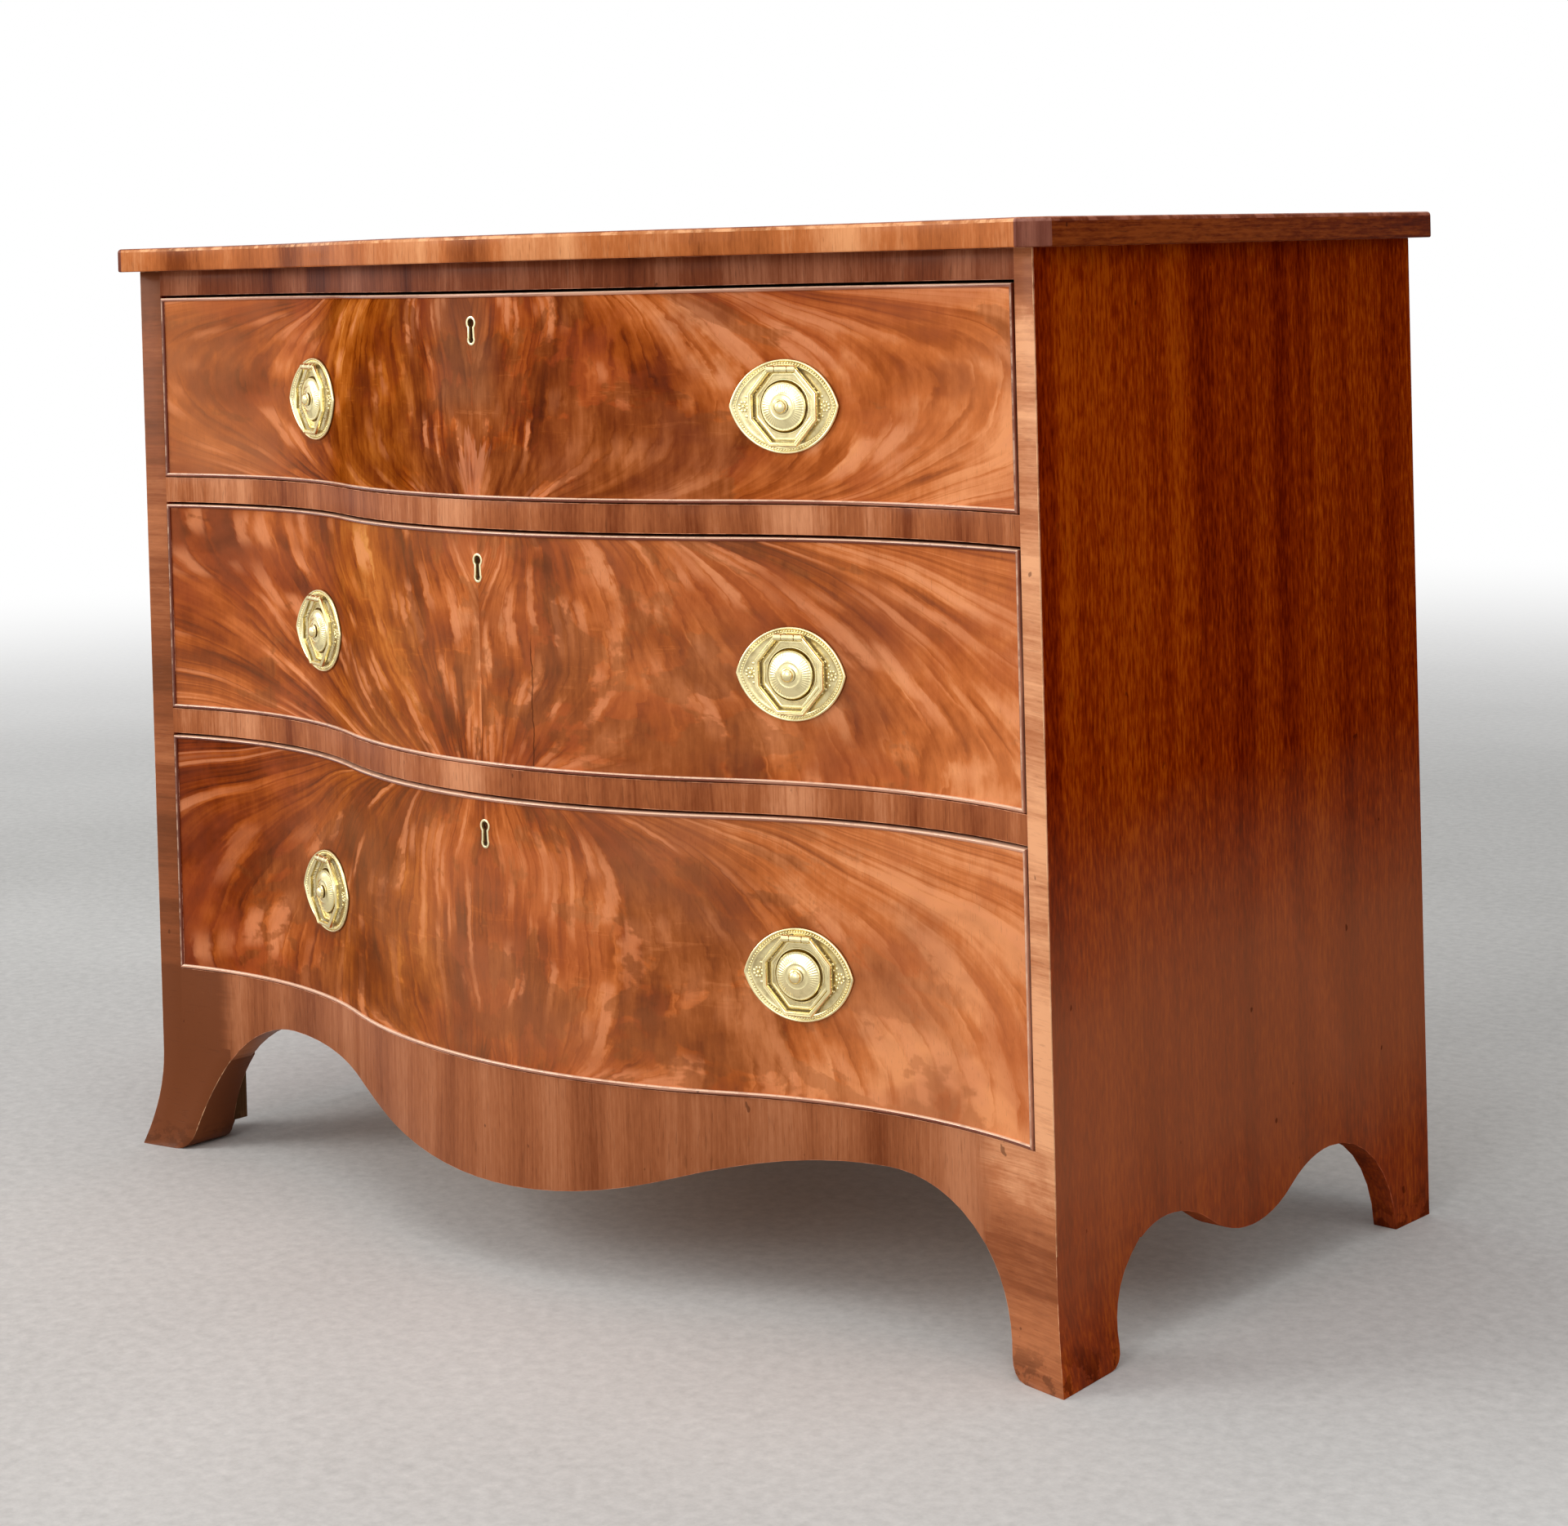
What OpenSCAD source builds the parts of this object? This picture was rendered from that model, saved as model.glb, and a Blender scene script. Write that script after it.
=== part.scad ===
// Serpentine commode of three long drawers, with a bowed and hollowed front and splayed front feet.
// X runs to the right, Y to the back and Z up, in millimetres.
// The origin is on the floor, under the middle of the top board's outline.

/* [Case] */
// Width of the case over its sides
case_w = 1000; // [940:1:1080]
// Depth of the case at its front corners
case_d = 497; // [450:1:560]
// Thickness of each side board, whose front edge shows as a stile
side_t = 20.7; // [18:0.1:24]
// Height of the bottom drawer's opening above the floor
base_h = 159.5; // [150:0.5:190]
// Height of the bottom drawer's opening
bottom_open_h = 212.5; // [180:0.5:240]
// Height of the middle drawer's opening
middle_open_h = 185.5; // [160:0.5:210]
// Height of the top drawer's opening
top_open_h = 162.5; // [140:0.5:190]
// Height of the top rail and of each divider
rail_h = 22; // [18:0.5:26]
// Depth of each rail behind the line of the corners
rail_d = 75; // [60:1:100]
// Thickness of the back boards
back_t = 11; // [8:0.5:16]
// Thickness of the bottom board
bottom_t = 20; // [16:0.5:24]
// Thickness of the dust boards
dust_t = 7; // [5:0.5:10]
// Width of the drawer runners and kickers
runner_w = 45; // [35:1:60]
// Depth of the housings cut in the sides
housing_d = 8; // [5:0.5:10]
// Thickness of the crossbanded facing on each stile
facing_t = 1.5; // [1:0.1:2.5]

/* [Front curve] */
// How far the middle of the front stands before the line of the corners
bow = 60; // [45:1:70]
// How far the hollows lie behind the line of the corners
hollow = 20; // [12:1:26]
// Distance from the middle of the front to the bottom of each hollow
hollow_x = 375; // [350:1:400]
// Radius of the bow in the middle
bow_r = 519; // [450:1:600]

/* [Top board] */
// Thickness of the top board
top_t = 20.6; // [16:0.1:26]
// Overhang of the top at the front and the sides
top_over = 20.3; // [12:0.1:28]
// Size of the canted front corners of the top
top_cant = 23.6; // [12:0.1:30]

/* [Apron and feet] */
// Thickness of the apron
apron_t = 24; // [20:0.5:30]
// Height of the apron's middle drop above the floor
apron_drop_h = 67.5; // [50:0.5:85]
// Height of the two arches under the apron
apron_arch_h = 121; // [110:0.5:130]
// Distance from each corner of the case to the top of the arch beside it
apron_arch_in = 164; // [150:1:190]
// Radius of the apron's middle drop
apron_drop_r = 540; // [450:1:640]
// Radius that turns each arch down into its foot
apron_turn_r = 120; // [112:1:128]
// Height of the arches in the sides
side_arch_h = 88.5; // [80:0.5:100]
// Height of the drop between the arches of a side
side_drop_h = 54.5; // [40:0.5:66]
// Distance from the front corner to the top of a side's front arch
side_front_in = 133; // [122:1:150]
// Radius that turns a side's front arch down into the foot
side_front_r = 70; // [60:1:78]
// Distance from the back to the top of a side's rear arch
side_back_in = 146; // [135:1:160]
// Radius that turns a side's rear arch down into the foot
side_back_r = 95; // [85:1:105]
// Length of a front foot block along the front
foot_front_l = 75; // [66:1:84]
// Length of a front foot block along the side
foot_side_l = 100; // [90:1:110]
// How far the toes of the front feet splay
foot_splay = 14.5; // [6:0.5:20]
// Height over which the front feet splay
foot_splay_h = 85; // [60:1:90]
// Radius that rounds the toes
toe_r = 14; // [6:0.5:16]

/* [Drawers] */
// Thickness of the drawer fronts
front_t = 26; // [23:0.5:32]
// Thickness of the flame veneer
veneer_t = 1.2; // [0.8:0.1:2]
// Thickness of the cockbead
bead_t = 3; // [2:0.1:4]
// How far the cockbead stands out
bead_out = 2.2; // [1:0.1:3]
// How far the cockbead is let in behind the veneered face
bead_in = 5.8; // [4:0.1:8]
// Gap between a drawer and the case at each side
gap_side = 1.5; // [0.8:0.1:2.5]
// Gap above a drawer
gap_top = 2.2; // [1:0.1:3]
// Gap under a drawer front
gap_bottom = 0.9; // [0.6:0.1:1.5]
// Running clearance under the drawer sides
run_gap = 0.3; // [0.2:0.05:0.5]
// Thickness of the drawer sides
drawer_side_t = 11; // [9:0.5:14]
// Thickness of the drawer backs
drawer_back_t = 9; // [7:0.5:12]
// Thickness of the drawer bottoms
drawer_bottom_t = 6; // [5:0.5:8]
// Height of the drawer bottoms above the lower edge of the drawer sides
drawer_bottom_up = 9; // [7:0.5:12]
// Depth of the grooves that hold the drawer bottoms
groove_d = 5; // [4:0.5:7]
// Space between a drawer's back and the back boards
drawer_rear_gap = 12; // [8:1:20]
// Wood left before the front dovetails
dovetail_lap = 7; // [5:0.5:9]
// Slope of the dovetails, in degrees
dovetail_slope = 9; // [6:0.5:12]

/* [Locks] */
// Width of a lock
lock_w = 64; // [50:1:76]
// Height of a lock
lock_h = 44; // [40:1:56]
// Depth of a lock
lock_d = 12; // [11:0.5:14]
// Width of a lock bolt
bolt_w = 20; // [14:0.5:26]
// Thickness of a lock bolt
bolt_t = 6; // [4:0.5:7]
// Height of a lock bolt
bolt_h = 14; // [12:0.5:16]
// Travel of a lock bolt
bolt_travel = 8; // [5:0.5:9]
// Clearance around a lock bolt
bolt_gap = 0.15; // [0.1:0.05:0.3]
// Distance from the top of an opening to the eye of the keyhole
key_down = 25; // [23:0.5:28]
// Height of an escutcheon
escutcheon_h = 22.8; // [20:0.2:26]
// Width of an escutcheon
escutcheon_w = 10.7; // [9:0.1:13]
// Width of an escutcheon's rim
escutcheon_rim = 1.8; // [1.2:0.1:2.2]

/* [Pulls] */
// Distance from the middle of the front to each pull
pull_x = 267; // [240:1:290]
// Height of the pulls in each drawer, as a share of the opening's height
pull_rise = 0.447; // [0.40:0.001:0.50]
// Width of a pull's backplate between its points
plate_w = 90; // [80:1:100]
// Height of a pull's backplate
plate_h = 70; // [66:1:80]
// Thickness of the backplate's sheet
plate_t = 1.2; // [0.8:0.1:2]
// Width of the raised rim around the backplate
plate_rim = 4.5; // [3:0.1:6]
// Radius of the boss in the middle of the backplate
boss_r = 18; // [14:0.5:20]
// Height of the boss
boss_h = 8; // [5:0.5:10]
// Radius of the knob on the boss
knob_r = 5.8; // [4:0.1:8]
// Width of the eight-sided bail
bail_w = 56; // [53:0.5:62]
// Height of the eight-sided bail
bail_h = 59; // [57:0.5:64]
// Width and thickness of the bail's bar
bail_bar = 3.4; // [2.6:0.1:4]
// Radius of the hinge knuckles
knuckle_r = 2.75; // [2.2:0.05:3.2]
// Radius of the hinge pin
pin_r = 1; // [0.8:0.05:1.4]
// Radius of the bolt that holds a pull
pull_bolt_r = 2.5; // [2:0.1:3]

/* [Hidden] */

// The three drawers, from the bottom up
BOTTOM = 0;
MIDDLE = 1;
TOP = 2;
LEFT = -1;
RIGHT = 1;

// Colours
mahogany = "#7a2f16";
red_mahogany = "#5c1a0e";
crossband = "#a8623a";
flame = "#b5652f";
bead_wood = "#d99a72";
pine = "#c79a63";
brass = "#d8c27a";
steel = "#6f7276";

// Long enough to cut right through any piece
past = 2 * case_w;
// Lets a cut run past the face that it opens
over = 1;
// Spacing of the flats that follow the front curve
flat = 20;
// A distance too short to matter
tiny = 0.001;
// Steps along each curve of the feet and arches
arc_steps = 8;

open_h = [bottom_open_h, middle_open_h, top_open_h];
inner_x = case_w / 2 - side_t;
housing_x = inner_x + housing_d;
back_y = (case_d + bow + top_over) / 2;
back_face_y = back_y - back_t;
line_y = back_y - case_d;
rail_back_y = line_y + rail_d;
apron_back_y = line_y + hollow + apron_t;

// Floor of a drawer's opening
function open_z(k) =
    base_h + (k > BOTTOM ? open_h[BOTTOM] + rail_h : 0) + (k > MIDDLE ? open_h[MIDDLE] + rail_h : 0);
// Top of a drawer's opening, which is the underside of the rail above it
function rail_z(k) = open_z(k) + open_h[k];
case_h = rail_z(TOP) + rail_h;

// Height at distance t along two tangent arcs that lead level from 0 to rise over run
function ogee(t, run, rise, start_r) =
    let (turn = 2 * atan(rise / run),
         end_r = run / sin(turn) - start_r)
    t < start_r * sin(turn)
        ? start_r - sqrt(start_r * start_r - t * t)
        : rise - end_r + sqrt(end_r * end_r - (run - t) * (run - t));

// How far the true front curve stands before the line of the corners at x
function reach(x) = bow - ogee(abs(x), hollow_x, bow + hollow, bow_r);
// The front surface at x: flats whose corners lie on the true curve
function front_y(x) =
    let (i = floor(x / flat), part = x / flat - i)
    line_y - reach(i * flat) * (1 - part) - reach((i + 1) * flat) * part;
// The ends of a stretch of the front and every corner of the flats between them
function stations(a, b) =
    concat([a], [for (i = [ceil(a / flat) : floor(b / flat)])
                 if (i * flat > a + tiny && i * flat < b - tiny) i * flat], [b]);
function curve(a, b, back) = [for (x = stations(a, b)) [x, front_y(x) + back]];
function reversed(v) = [for (i = [len(v) - 1 : -1 : 0]) v[i]];

// Plan of a curved board between two distances behind the front surface
module curved_strip(a, b, near, far) {
    polygon(concat(curve(a, b, near), reversed(curve(a, b, far))));
}

// Plan of a board with a curved front and a straight back
module curved_panel(a, b, near, far_y) {
    polygon(concat(curve(a, b, near), [[b, far_y], [a, far_y]]));
}

module slab(z, h) {
    translate([0, 0, z]) linear_extrude(h) children();
}

// A plain board given by its limits
module board(x0, x1, y0, y1, z0, z1) {
    translate([x0, y0, z0]) cube([x1 - x0, y1 - y0, z1 - z0]);
}

module both_sides() {
    children();
    mirror([1, 0, 0]) children();
}

// Feet and arches: heights, edges and the splay of the toes
foot_x = case_w / 2 - foot_front_l;
apron_arch_x = case_w / 2 - apron_arch_in;
side_back_s = case_d - side_back_in;
side_mid_s = (side_front_in + side_back_s) / 2;
foot_lap = 10;
front_seam_z = arc_z(foot_x - apron_arch_x, apron_arch_h, apron_turn_r);
side_seam_z = arc_z(side_front_in - foot_side_l, side_arch_h, side_front_r);
foot_h = max(front_seam_z, side_seam_z) + foot_lap;

// Height of an arc of radius r whose top is at height h, at distance t from its top
function arc_z(t, h, r) = h - r + sqrt(max(r * r - t * t, 0));
// Distance from the top of such an arc at height z, held at r below its centre
function arc_t(z, h, r) = let (up = max(z - h + r, 0)) sqrt(r * r - up * up);
// How far the rounding of a toe cuts in at height z
function rounded(z) = z < toe_r ? toe_r - sqrt(toe_r * toe_r - (toe_r - z) * (toe_r - z)) : 0;
function splay(z) = z < foot_splay_h ? foot_splay * pow(1 - z / foot_splay_h, 2) : 0;
// How much of the splay carries over to the foot's edge under the apron
edge_hold = 1 / 3;
// How much of it is left at the foot's edge under the side
side_hold = 0.6;
// The foot's edge under the apron, as a distance from the middle
function foot_edge_x(z) =
    max(foot_x, apron_arch_x + arc_t(z, apron_arch_h, apron_turn_r)) + rounded(z) + edge_hold * splay(z);
// The foot's edge under the side, as a distance from the front corner
function foot_edge_s(z) =
    min(foot_side_l, side_front_in - arc_t(z, side_arch_h, side_front_r)) - rounded(z);

// Lower edge of the apron from the middle to the foot
function apron_edge_z(x) =
    x < apron_arch_x ? apron_drop_h + ogee(x, apron_arch_x, apron_arch_h - apron_drop_h, apron_drop_r)
                     : arc_z(x - apron_arch_x, apron_arch_h, apron_turn_r);
// Lower edge of a side at distance s from the front corner, between its two arches
function side_drop_z(s) =
    let (run = s < side_mid_s ? side_mid_s - side_front_in : side_back_s - side_mid_s,
         rise = side_arch_h - side_drop_h,
         turn = 2 * atan(rise / run))
    side_drop_h + ogee(abs(s - side_mid_s), run, rise, run / sin(turn) / 2);

function steps(a, b, n) = [for (i = [0 : n]) a + (b - a) * i / n];

// CASE

module top_board() {
    edge_x = case_w / 2 + top_over;
    corner_y = front_y(edge_x) - top_over;
    color(red_mahogany) difference() {
        slab(case_h, top_t) curved_panel(-edge_x, edge_x, -top_over, back_y);
        both_sides() slab(case_h - over, top_t + 2 * over)
            polygon([[edge_x - top_cant, corner_y - top_cant], [edge_x + over, corner_y - top_cant],
                     [edge_x + over, corner_y + top_cant + over], [edge_x - top_cant, corner_y]]);
        top_screw_holes();
    }
}

// Where the housings stop behind the facing
housing_stop = 12;
rebate_w = 10;

// The board's outline seen from the side, with y across and z up
function side_outline() =
    concat([[line_y - bow, foot_h], [line_y - bow, case_h], [back_y, case_h], [back_y, 0]],
           [for (t = steps(0, 1, arc_steps))
                let (z = side_arch_h * sin(90 * t))
                [line_y + side_back_s + arc_t(z, side_arch_h, side_back_r), z]],
           [for (s = steps(side_back_s, side_front_in, 3 * arc_steps))
                if (s < side_back_s) [line_y + s, side_drop_z(s)]],
           [for (s = steps(side_front_in, foot_side_l, arc_steps / 2))
                if (s < side_front_in) [line_y + s, arc_z(side_front_in - s, side_arch_h, side_front_r)]],
           [[line_y + foot_side_l, foot_h]]);

module side_board() {
    difference() {
        intersection() {
            translate([case_w / 2, 0, 0]) rotate([0, -90, 0]) linear_extrude(side_t)
                polygon([for (p = side_outline()) [p[1], p[0]]]);
            slab(-over, case_h + 2 * over) curved_panel(inner_x, case_w / 2, facing_t, back_y);
        }
        // Housings for the rails and runners, and for the bottom board
        for (k = [BOTTOM : TOP])
            board(inner_x - over, housing_x, line_y + housing_stop, back_y + over,
                  rail_z(k), rail_z(k) + rail_h);
        board(inner_x - over, housing_x, apron_back_y, back_y + over, base_h - bottom_t, base_h);
        // Rebate for the back boards
        board(inner_x - over, inner_x + rebate_w, back_face_y, back_y + over, foot_h, case_h + over);
    }
}

module right_side() {
    color(red_mahogany) side_board();
}

module left_side() {
    color(red_mahogany) mirror([1, 0, 0]) side_board();
}

module stile_facings() {
    color(crossband) both_sides()
        slab(foot_h, case_h - foot_h) curved_strip(inner_x, case_w / 2, 0, facing_t);
}

back_board_count = 3;
// Gap that lets the back boards swell
board_gap = 0.6;

module back_boards() {
    pitch = (case_h - foot_h) / back_board_count;
    for (i = [0 : back_board_count - 1])
        color(pine) board(-inner_x - rebate_w, inner_x + rebate_w, back_face_y, back_y,
                          foot_h + i * pitch, foot_h + (i + 1) * pitch - board_gap);
}

// A rail with a curved front, tongued into the sides
module rail_body(z) {
    slab(z, rail_h) curved_panel(-inner_x, inner_x, 0, rail_back_y);
    both_sides() board(inner_x - over, housing_x, line_y + housing_stop, rail_back_y, z, z + rail_h);
}

// Mortise over a drawer's lock, for its bolt
module bolt_mortise(k) {
    board(-bolt_w / 2 - over, bolt_w / 2 + over, bolt_y0 - over, bolt_y1 + over,
          rail_z(k) - over, rail_z(k) + bolt_travel + over);
}

module rail(k) {
    difference() {
        rail_body(rail_z(k));
        bolt_mortise(k);
        dust_panel(k);
    }
}

module top_rail() {
    color(crossband) difference() {
        rail_body(rail_z(TOP));
        bolt_mortise(TOP);
        top_screw_holes();
    }
}

module upper_divider() {
    color(crossband) rail(MIDDLE);
}

module lower_divider() {
    color(crossband) rail(BOTTOM);
}

// Thin panel that closes the framework over a drawer
module dust_panel(k) {
    z = rail_z(k) + (rail_h - dust_t) / 2;
    board(-inner_x + runner_w - groove_d, inner_x - runner_w + groove_d,
          rail_back_y - groove_d, back_face_y, z, z + dust_t);
}

module upper_dust_board() {
    color(pine) dust_panel(MIDDLE);
}

module lower_dust_board() {
    color(pine) dust_panel(BOTTOM);
}

// Runners under the top and middle drawers, and kickers over the top drawer
module drawer_runners() {
    color(pine) for (k = [BOTTOM : TOP]) difference() {
        both_sides() board(inner_x - runner_w, housing_x, rail_back_y, back_face_y,
                           rail_z(k), rail_z(k) + rail_h);
        if (k < TOP) dust_panel(k);
        if (k == TOP) top_screw_holes();
    }
}

module bottom_board() {
    color(pine) slab(base_h - bottom_t, bottom_t) {
        curved_panel(-inner_x, inner_x, apron_t, back_face_y);
        translate([-housing_x, apron_back_y]) square([2 * housing_x, back_face_y - apron_back_y]);
    }
}

module apron() {
    drop = [for (x = steps(0, apron_arch_x, 2 * arc_steps)) [x, apron_edge_z(x)]];
    arch = [for (x = steps(apron_arch_x, foot_x, arc_steps)) if (x > apron_arch_x) [x, apron_edge_z(x)]];
    half = concat(drop, arch, [[foot_x, foot_h], [inner_x, foot_h], [inner_x, base_h]]);
    other = [for (p = reversed(half)) if (p[0] > 0) [-p[0], p[1]]];
    color(crossband) intersection() {
        slab(0, base_h + over) curved_strip(-inner_x, inner_x, 0, apron_t);
        translate([0, past / 2, 0]) rotate([90, 0, 0]) linear_extrude(past) polygon(concat(half, other));
    }
}

// A splayed foot block, as rings of points from the floor up
foot_levels = concat([for (a = steps(0, 1, arc_steps / 2)) toe_r * (1 - cos(90 * a))],
                     [for (z = steps(toe_r, foot_h, arc_steps)) if (z > toe_r) z]);

function foot_ring(z) =
    let (x0 = foot_edge_x(z), s = splay(z), y_end = line_y + foot_edge_s(z))
    concat([for (t = steps(0, 1, arc_steps / 2))
                let (x = x0 + (case_w / 2 - x0) * t) [x + s * t, front_y(x) - s, z]],
           [[case_w / 2 + s * side_hold, y_end, z], [inner_x, y_end, z], [inner_x, apron_back_y, z],
            [x0, apron_back_y, z]]);

module front_foot() {
    rings = [for (z = foot_levels) foot_ring(z)];
    n = len(rings[0]);
    last = len(rings) - 1;
    sides = [for (r = [0 : last - 1]) for (i = [0 : n - 1])
                 let (a = r * n + i, b = r * n + (i + 1) % n)
                 for (face = [[a, a + n, b + n], [a, b + n, b]]) face];
    ends = [[for (i = [0 : n - 1]) i], [for (i = [n - 1 : -1 : 0]) last * n + i]];
    polyhedron(points = [for (ring = rings) for (p = ring) p], faces = concat(sides, ends));
}

module right_front_foot() {
    color(crossband) front_foot();
}

module left_front_foot() {
    color(crossband) mirror([1, 0, 0]) front_foot();
}

// Corner blocks glued behind the front feet and beside the rear ones, and strips behind the apron
block = 18;
block_up = 16;

module glue_blocks() {
    under = base_h - bottom_t;
    color(pine) both_sides() {
        board(inner_x - block, inner_x, apron_back_y, apron_back_y + block, block_up, under);
        board(inner_x - block, inner_x, back_face_y - block, back_face_y, foot_h, under);
        slab(under - block, block)
            curved_strip(apron_block_x, apron_block_x + apron_block_l, apron_t, apron_t + block);
    }
}

apron_block_x = 120;
apron_block_l = 110;

// Blocks on the dividers and the bottom board that the closed drawer fronts meet
stop_x = 130;
stop_w = 40;
stop_h = 5;
stop_l = 30;
stop_gap = 0.3;

module drawer_stops() {
    color(pine) for (k = [BOTTOM : TOP]) both_sides()
        slab(open_z(k), stop_h) curved_strip(stop_x, stop_x + stop_w, front_t + stop_gap, front_t + stop_l);
}

// Screws that hold the top board, two in the rail and one in each kicker at either side
screw_r = 2;
screw_head_r = 4;
screw_head_h = 3;
screw_sunk = 5;
screw_bite = 12;
screw_fit = 0.1;
screw_x = [150, 400];
screw_places = [[screw_x[0], line_y + rail_d / 2], [screw_x[1], line_y + 2 * rail_d / 3],
                [inner_x - runner_w / 2, back_face_y - rail_d]];

module top_screw(grow) {
    head_z = rail_z(TOP) + screw_sunk;
    translate([0, 0, head_z]) cylinder(h = screw_head_h, r = screw_head_r + grow, $fn = 32);
    translate([0, 0, head_z]) cylinder(h = case_h + screw_bite - head_z, r = screw_r + grow, $fn = 32);
}

module top_screws() {
    color(steel) for (p = screw_places) both_sides() translate([p[0], p[1], 0]) top_screw(0);
}

module top_screw_holes() {
    for (p = screw_places) both_sides() translate([p[0], p[1], 0]) {
        top_screw(screw_fit);
        translate([0, 0, rail_z(TOP) - over])
            cylinder(h = screw_sunk + over + screw_head_h, r = screw_head_r + screw_fit, $fn = 32);
    }
}

// DRAWERS

drawer_x = inner_x - gap_side;
side_in_x = drawer_x - drawer_side_t;
drawer_rear_y = back_face_y - drawer_rear_gap;
// Flat at each end of the front's inner face, where the sides meet it
shoulder_y = front_y(side_in_x) + front_t;
// How far the drawer sides stand below the top of the front
side_drop = 4;
// How far the drawer back stands below the top of the sides
back_drop = 6;

function front_z0(k) = open_z(k) + gap_bottom;
function front_z1(k) = rail_z(k) - gap_top;
function side_z0(k) = open_z(k) + run_gap;
function side_z1(k) = front_z1(k) - side_drop;
function floor_z(k) = side_z0(k) + drawer_bottom_up;
function key_z(k) = rail_z(k) - key_down;

// Half of a tail's width midway along it, as a share of the spacing
tail_share = 0.34;

// A row of tails between z0 and z1, from y in the direction of their wide ends
module tails(z0, z1, count, y, l) {
    pitch = (z1 - z0) / count;
    flare_w = abs(l) * tan(dovetail_slope);
    root = pitch * tail_share;
    for (i = [0 : count - 1])
        translate([drawer_x, 0, z0 + pitch * (i + 0.5)]) rotate([0, -90, 0]) linear_extrude(drawer_side_t)
            polygon([[-root + flare_w / 2, y], [-root - flare_w / 2, y + l],
                     [root + flare_w / 2, y + l], [root - flare_w / 2, y]]);
}

tail_counts = [5, 4, 4];

module front_tails(k) {
    tails(front_z0(k) + bead_t, side_z1(k), tail_counts[k], shoulder_y, bead_in + dovetail_lap - front_t);
}

module rear_tails(k) {
    tails(floor_z(k) + drawer_bottom_t, side_z1(k) - back_drop, tail_counts[k],
          drawer_rear_y - drawer_back_t, drawer_back_t);
}

module back_plate(k) {
    board(-drawer_x, drawer_x, drawer_rear_y - drawer_back_t, drawer_rear_y,
          floor_z(k) + drawer_bottom_t, side_z1(k) - back_drop);
}

module drawer_floor(k) {
    slab(floor_z(k), drawer_bottom_t) {
        curved_panel(-side_in_x, side_in_x, front_t - groove_d, drawer_rear_y);
        translate([-side_in_x - groove_d, shoulder_y])
            square([2 * (side_in_x + groove_d), drawer_rear_y - shoulder_y]);
    }
}

module drawer_bottom(k) {
    color(pine) drawer_floor(k);
}

module drawer_back(k) {
    color(pine) difference() {
        back_plate(k);
        both_sides() rear_tails(k);
    }
}

module drawer_sides(k) {
    color(pine) difference() {
        both_sides() {
            difference() {
                board(side_in_x, drawer_x, shoulder_y, drawer_rear_y, side_z0(k), side_z1(k));
                difference() {
                    back_plate(k);
                    rear_tails(k);
                }
            }
            front_tails(k);
        }
        drawer_floor(k);
    }
}

module drawer_front(k) {
    color(mahogany) difference() {
        union() {
            slab(front_z0(k), front_z1(k) - front_z0(k))
                polygon(concat(curve(-drawer_x, drawer_x, bead_in), [[drawer_x, shoulder_y]],
                               reversed(curve(-side_in_x, side_in_x, front_t)), [[-drawer_x, shoulder_y]]));
            slab(front_z0(k) + bead_t, front_z1(k) - front_z0(k) - 2 * bead_t)
                curved_strip(-drawer_x + bead_t, drawer_x - bead_t, veneer_t, bead_in + over);
        }
        both_sides() front_tails(k);
        drawer_floor(k);
        lock_recess(k);
        keyhole(k);
        escutcheon_body(k);
        pull_holes(k);
    }
}

module drawer_veneer(k) {
    color(flame) difference() {
        slab(front_z0(k) + bead_t, front_z1(k) - front_z0(k) - 2 * bead_t)
            curved_strip(-drawer_x + bead_t, drawer_x - bead_t, 0, veneer_t);
        escutcheon_body(k);
        pull_holes(k);
    }
}

// Four mitred strips let into the edges of the drawer front
module drawer_cockbead(k) {
    z0 = front_z0(k);
    z1 = front_z1(k);
    color(bead_wood) {
        for (z = [z0, z1 - bead_t]) cockbead_rail(k, z, z == z0 ? 1 : -1);
        both_sides() translate([0, 0, z0]) cockbead_end(z1 - z0);
    }
}

// A curved strip along the bottom, or along the top when up is -1
module cockbead_rail(k, z, up) {
    inner = drawer_x - bead_t;
    difference() {
        slab(z, bead_t) curved_strip(-drawer_x, drawer_x, -bead_out, bead_in);
        both_sides() mitre_cut(z + (up > 0 ? 0 : bead_t), up, 1);
    }
}

// An upright strip of height h at the right end
module cockbead_end(h) {
    difference() {
        slab(0, h) curved_strip(drawer_x - bead_t, drawer_x, -bead_out, bead_in);
        mitre_cut(0, 1, -1);
        mitre_cut(h, -1, -1);
    }
}

// Hairline between the strips at each mitre
mitre_gap = 0.02;

// Wedge on one side of the mitre that starts at the right end at height z
module mitre_cut(z, up, side) {
    big = 2 * bead_t;
    aside = side * mitre_gap;
    translate([drawer_x - aside, past / 2, z]) rotate([90, 0, 0]) linear_extrude(past)
        polygon([[-big, up * big], [side * big, up * side * big], [big, -up * big]]);
}

// LOCKS

lock_y1 = front_y(0) + front_t;
lock_y0 = lock_y1 - lock_d;
bolt_y0 = lock_y0 + (lock_d - bolt_t) / 2;
bolt_y1 = bolt_y0 + bolt_t;
key_r = 4.2;
key_pin_r = 1.6;
key_pin_l = 7;
lock_fit = 0.05;

function lock_z0(k) = front_z1(k) - lock_h;

module lock_recess(k) {
    board(-lock_w / 2 - lock_fit, lock_w / 2 + lock_fit, lock_y0 - lock_fit, lock_y1 + front_t,
          lock_z0(k) - lock_fit, front_z1(k) + over);
}

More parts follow.
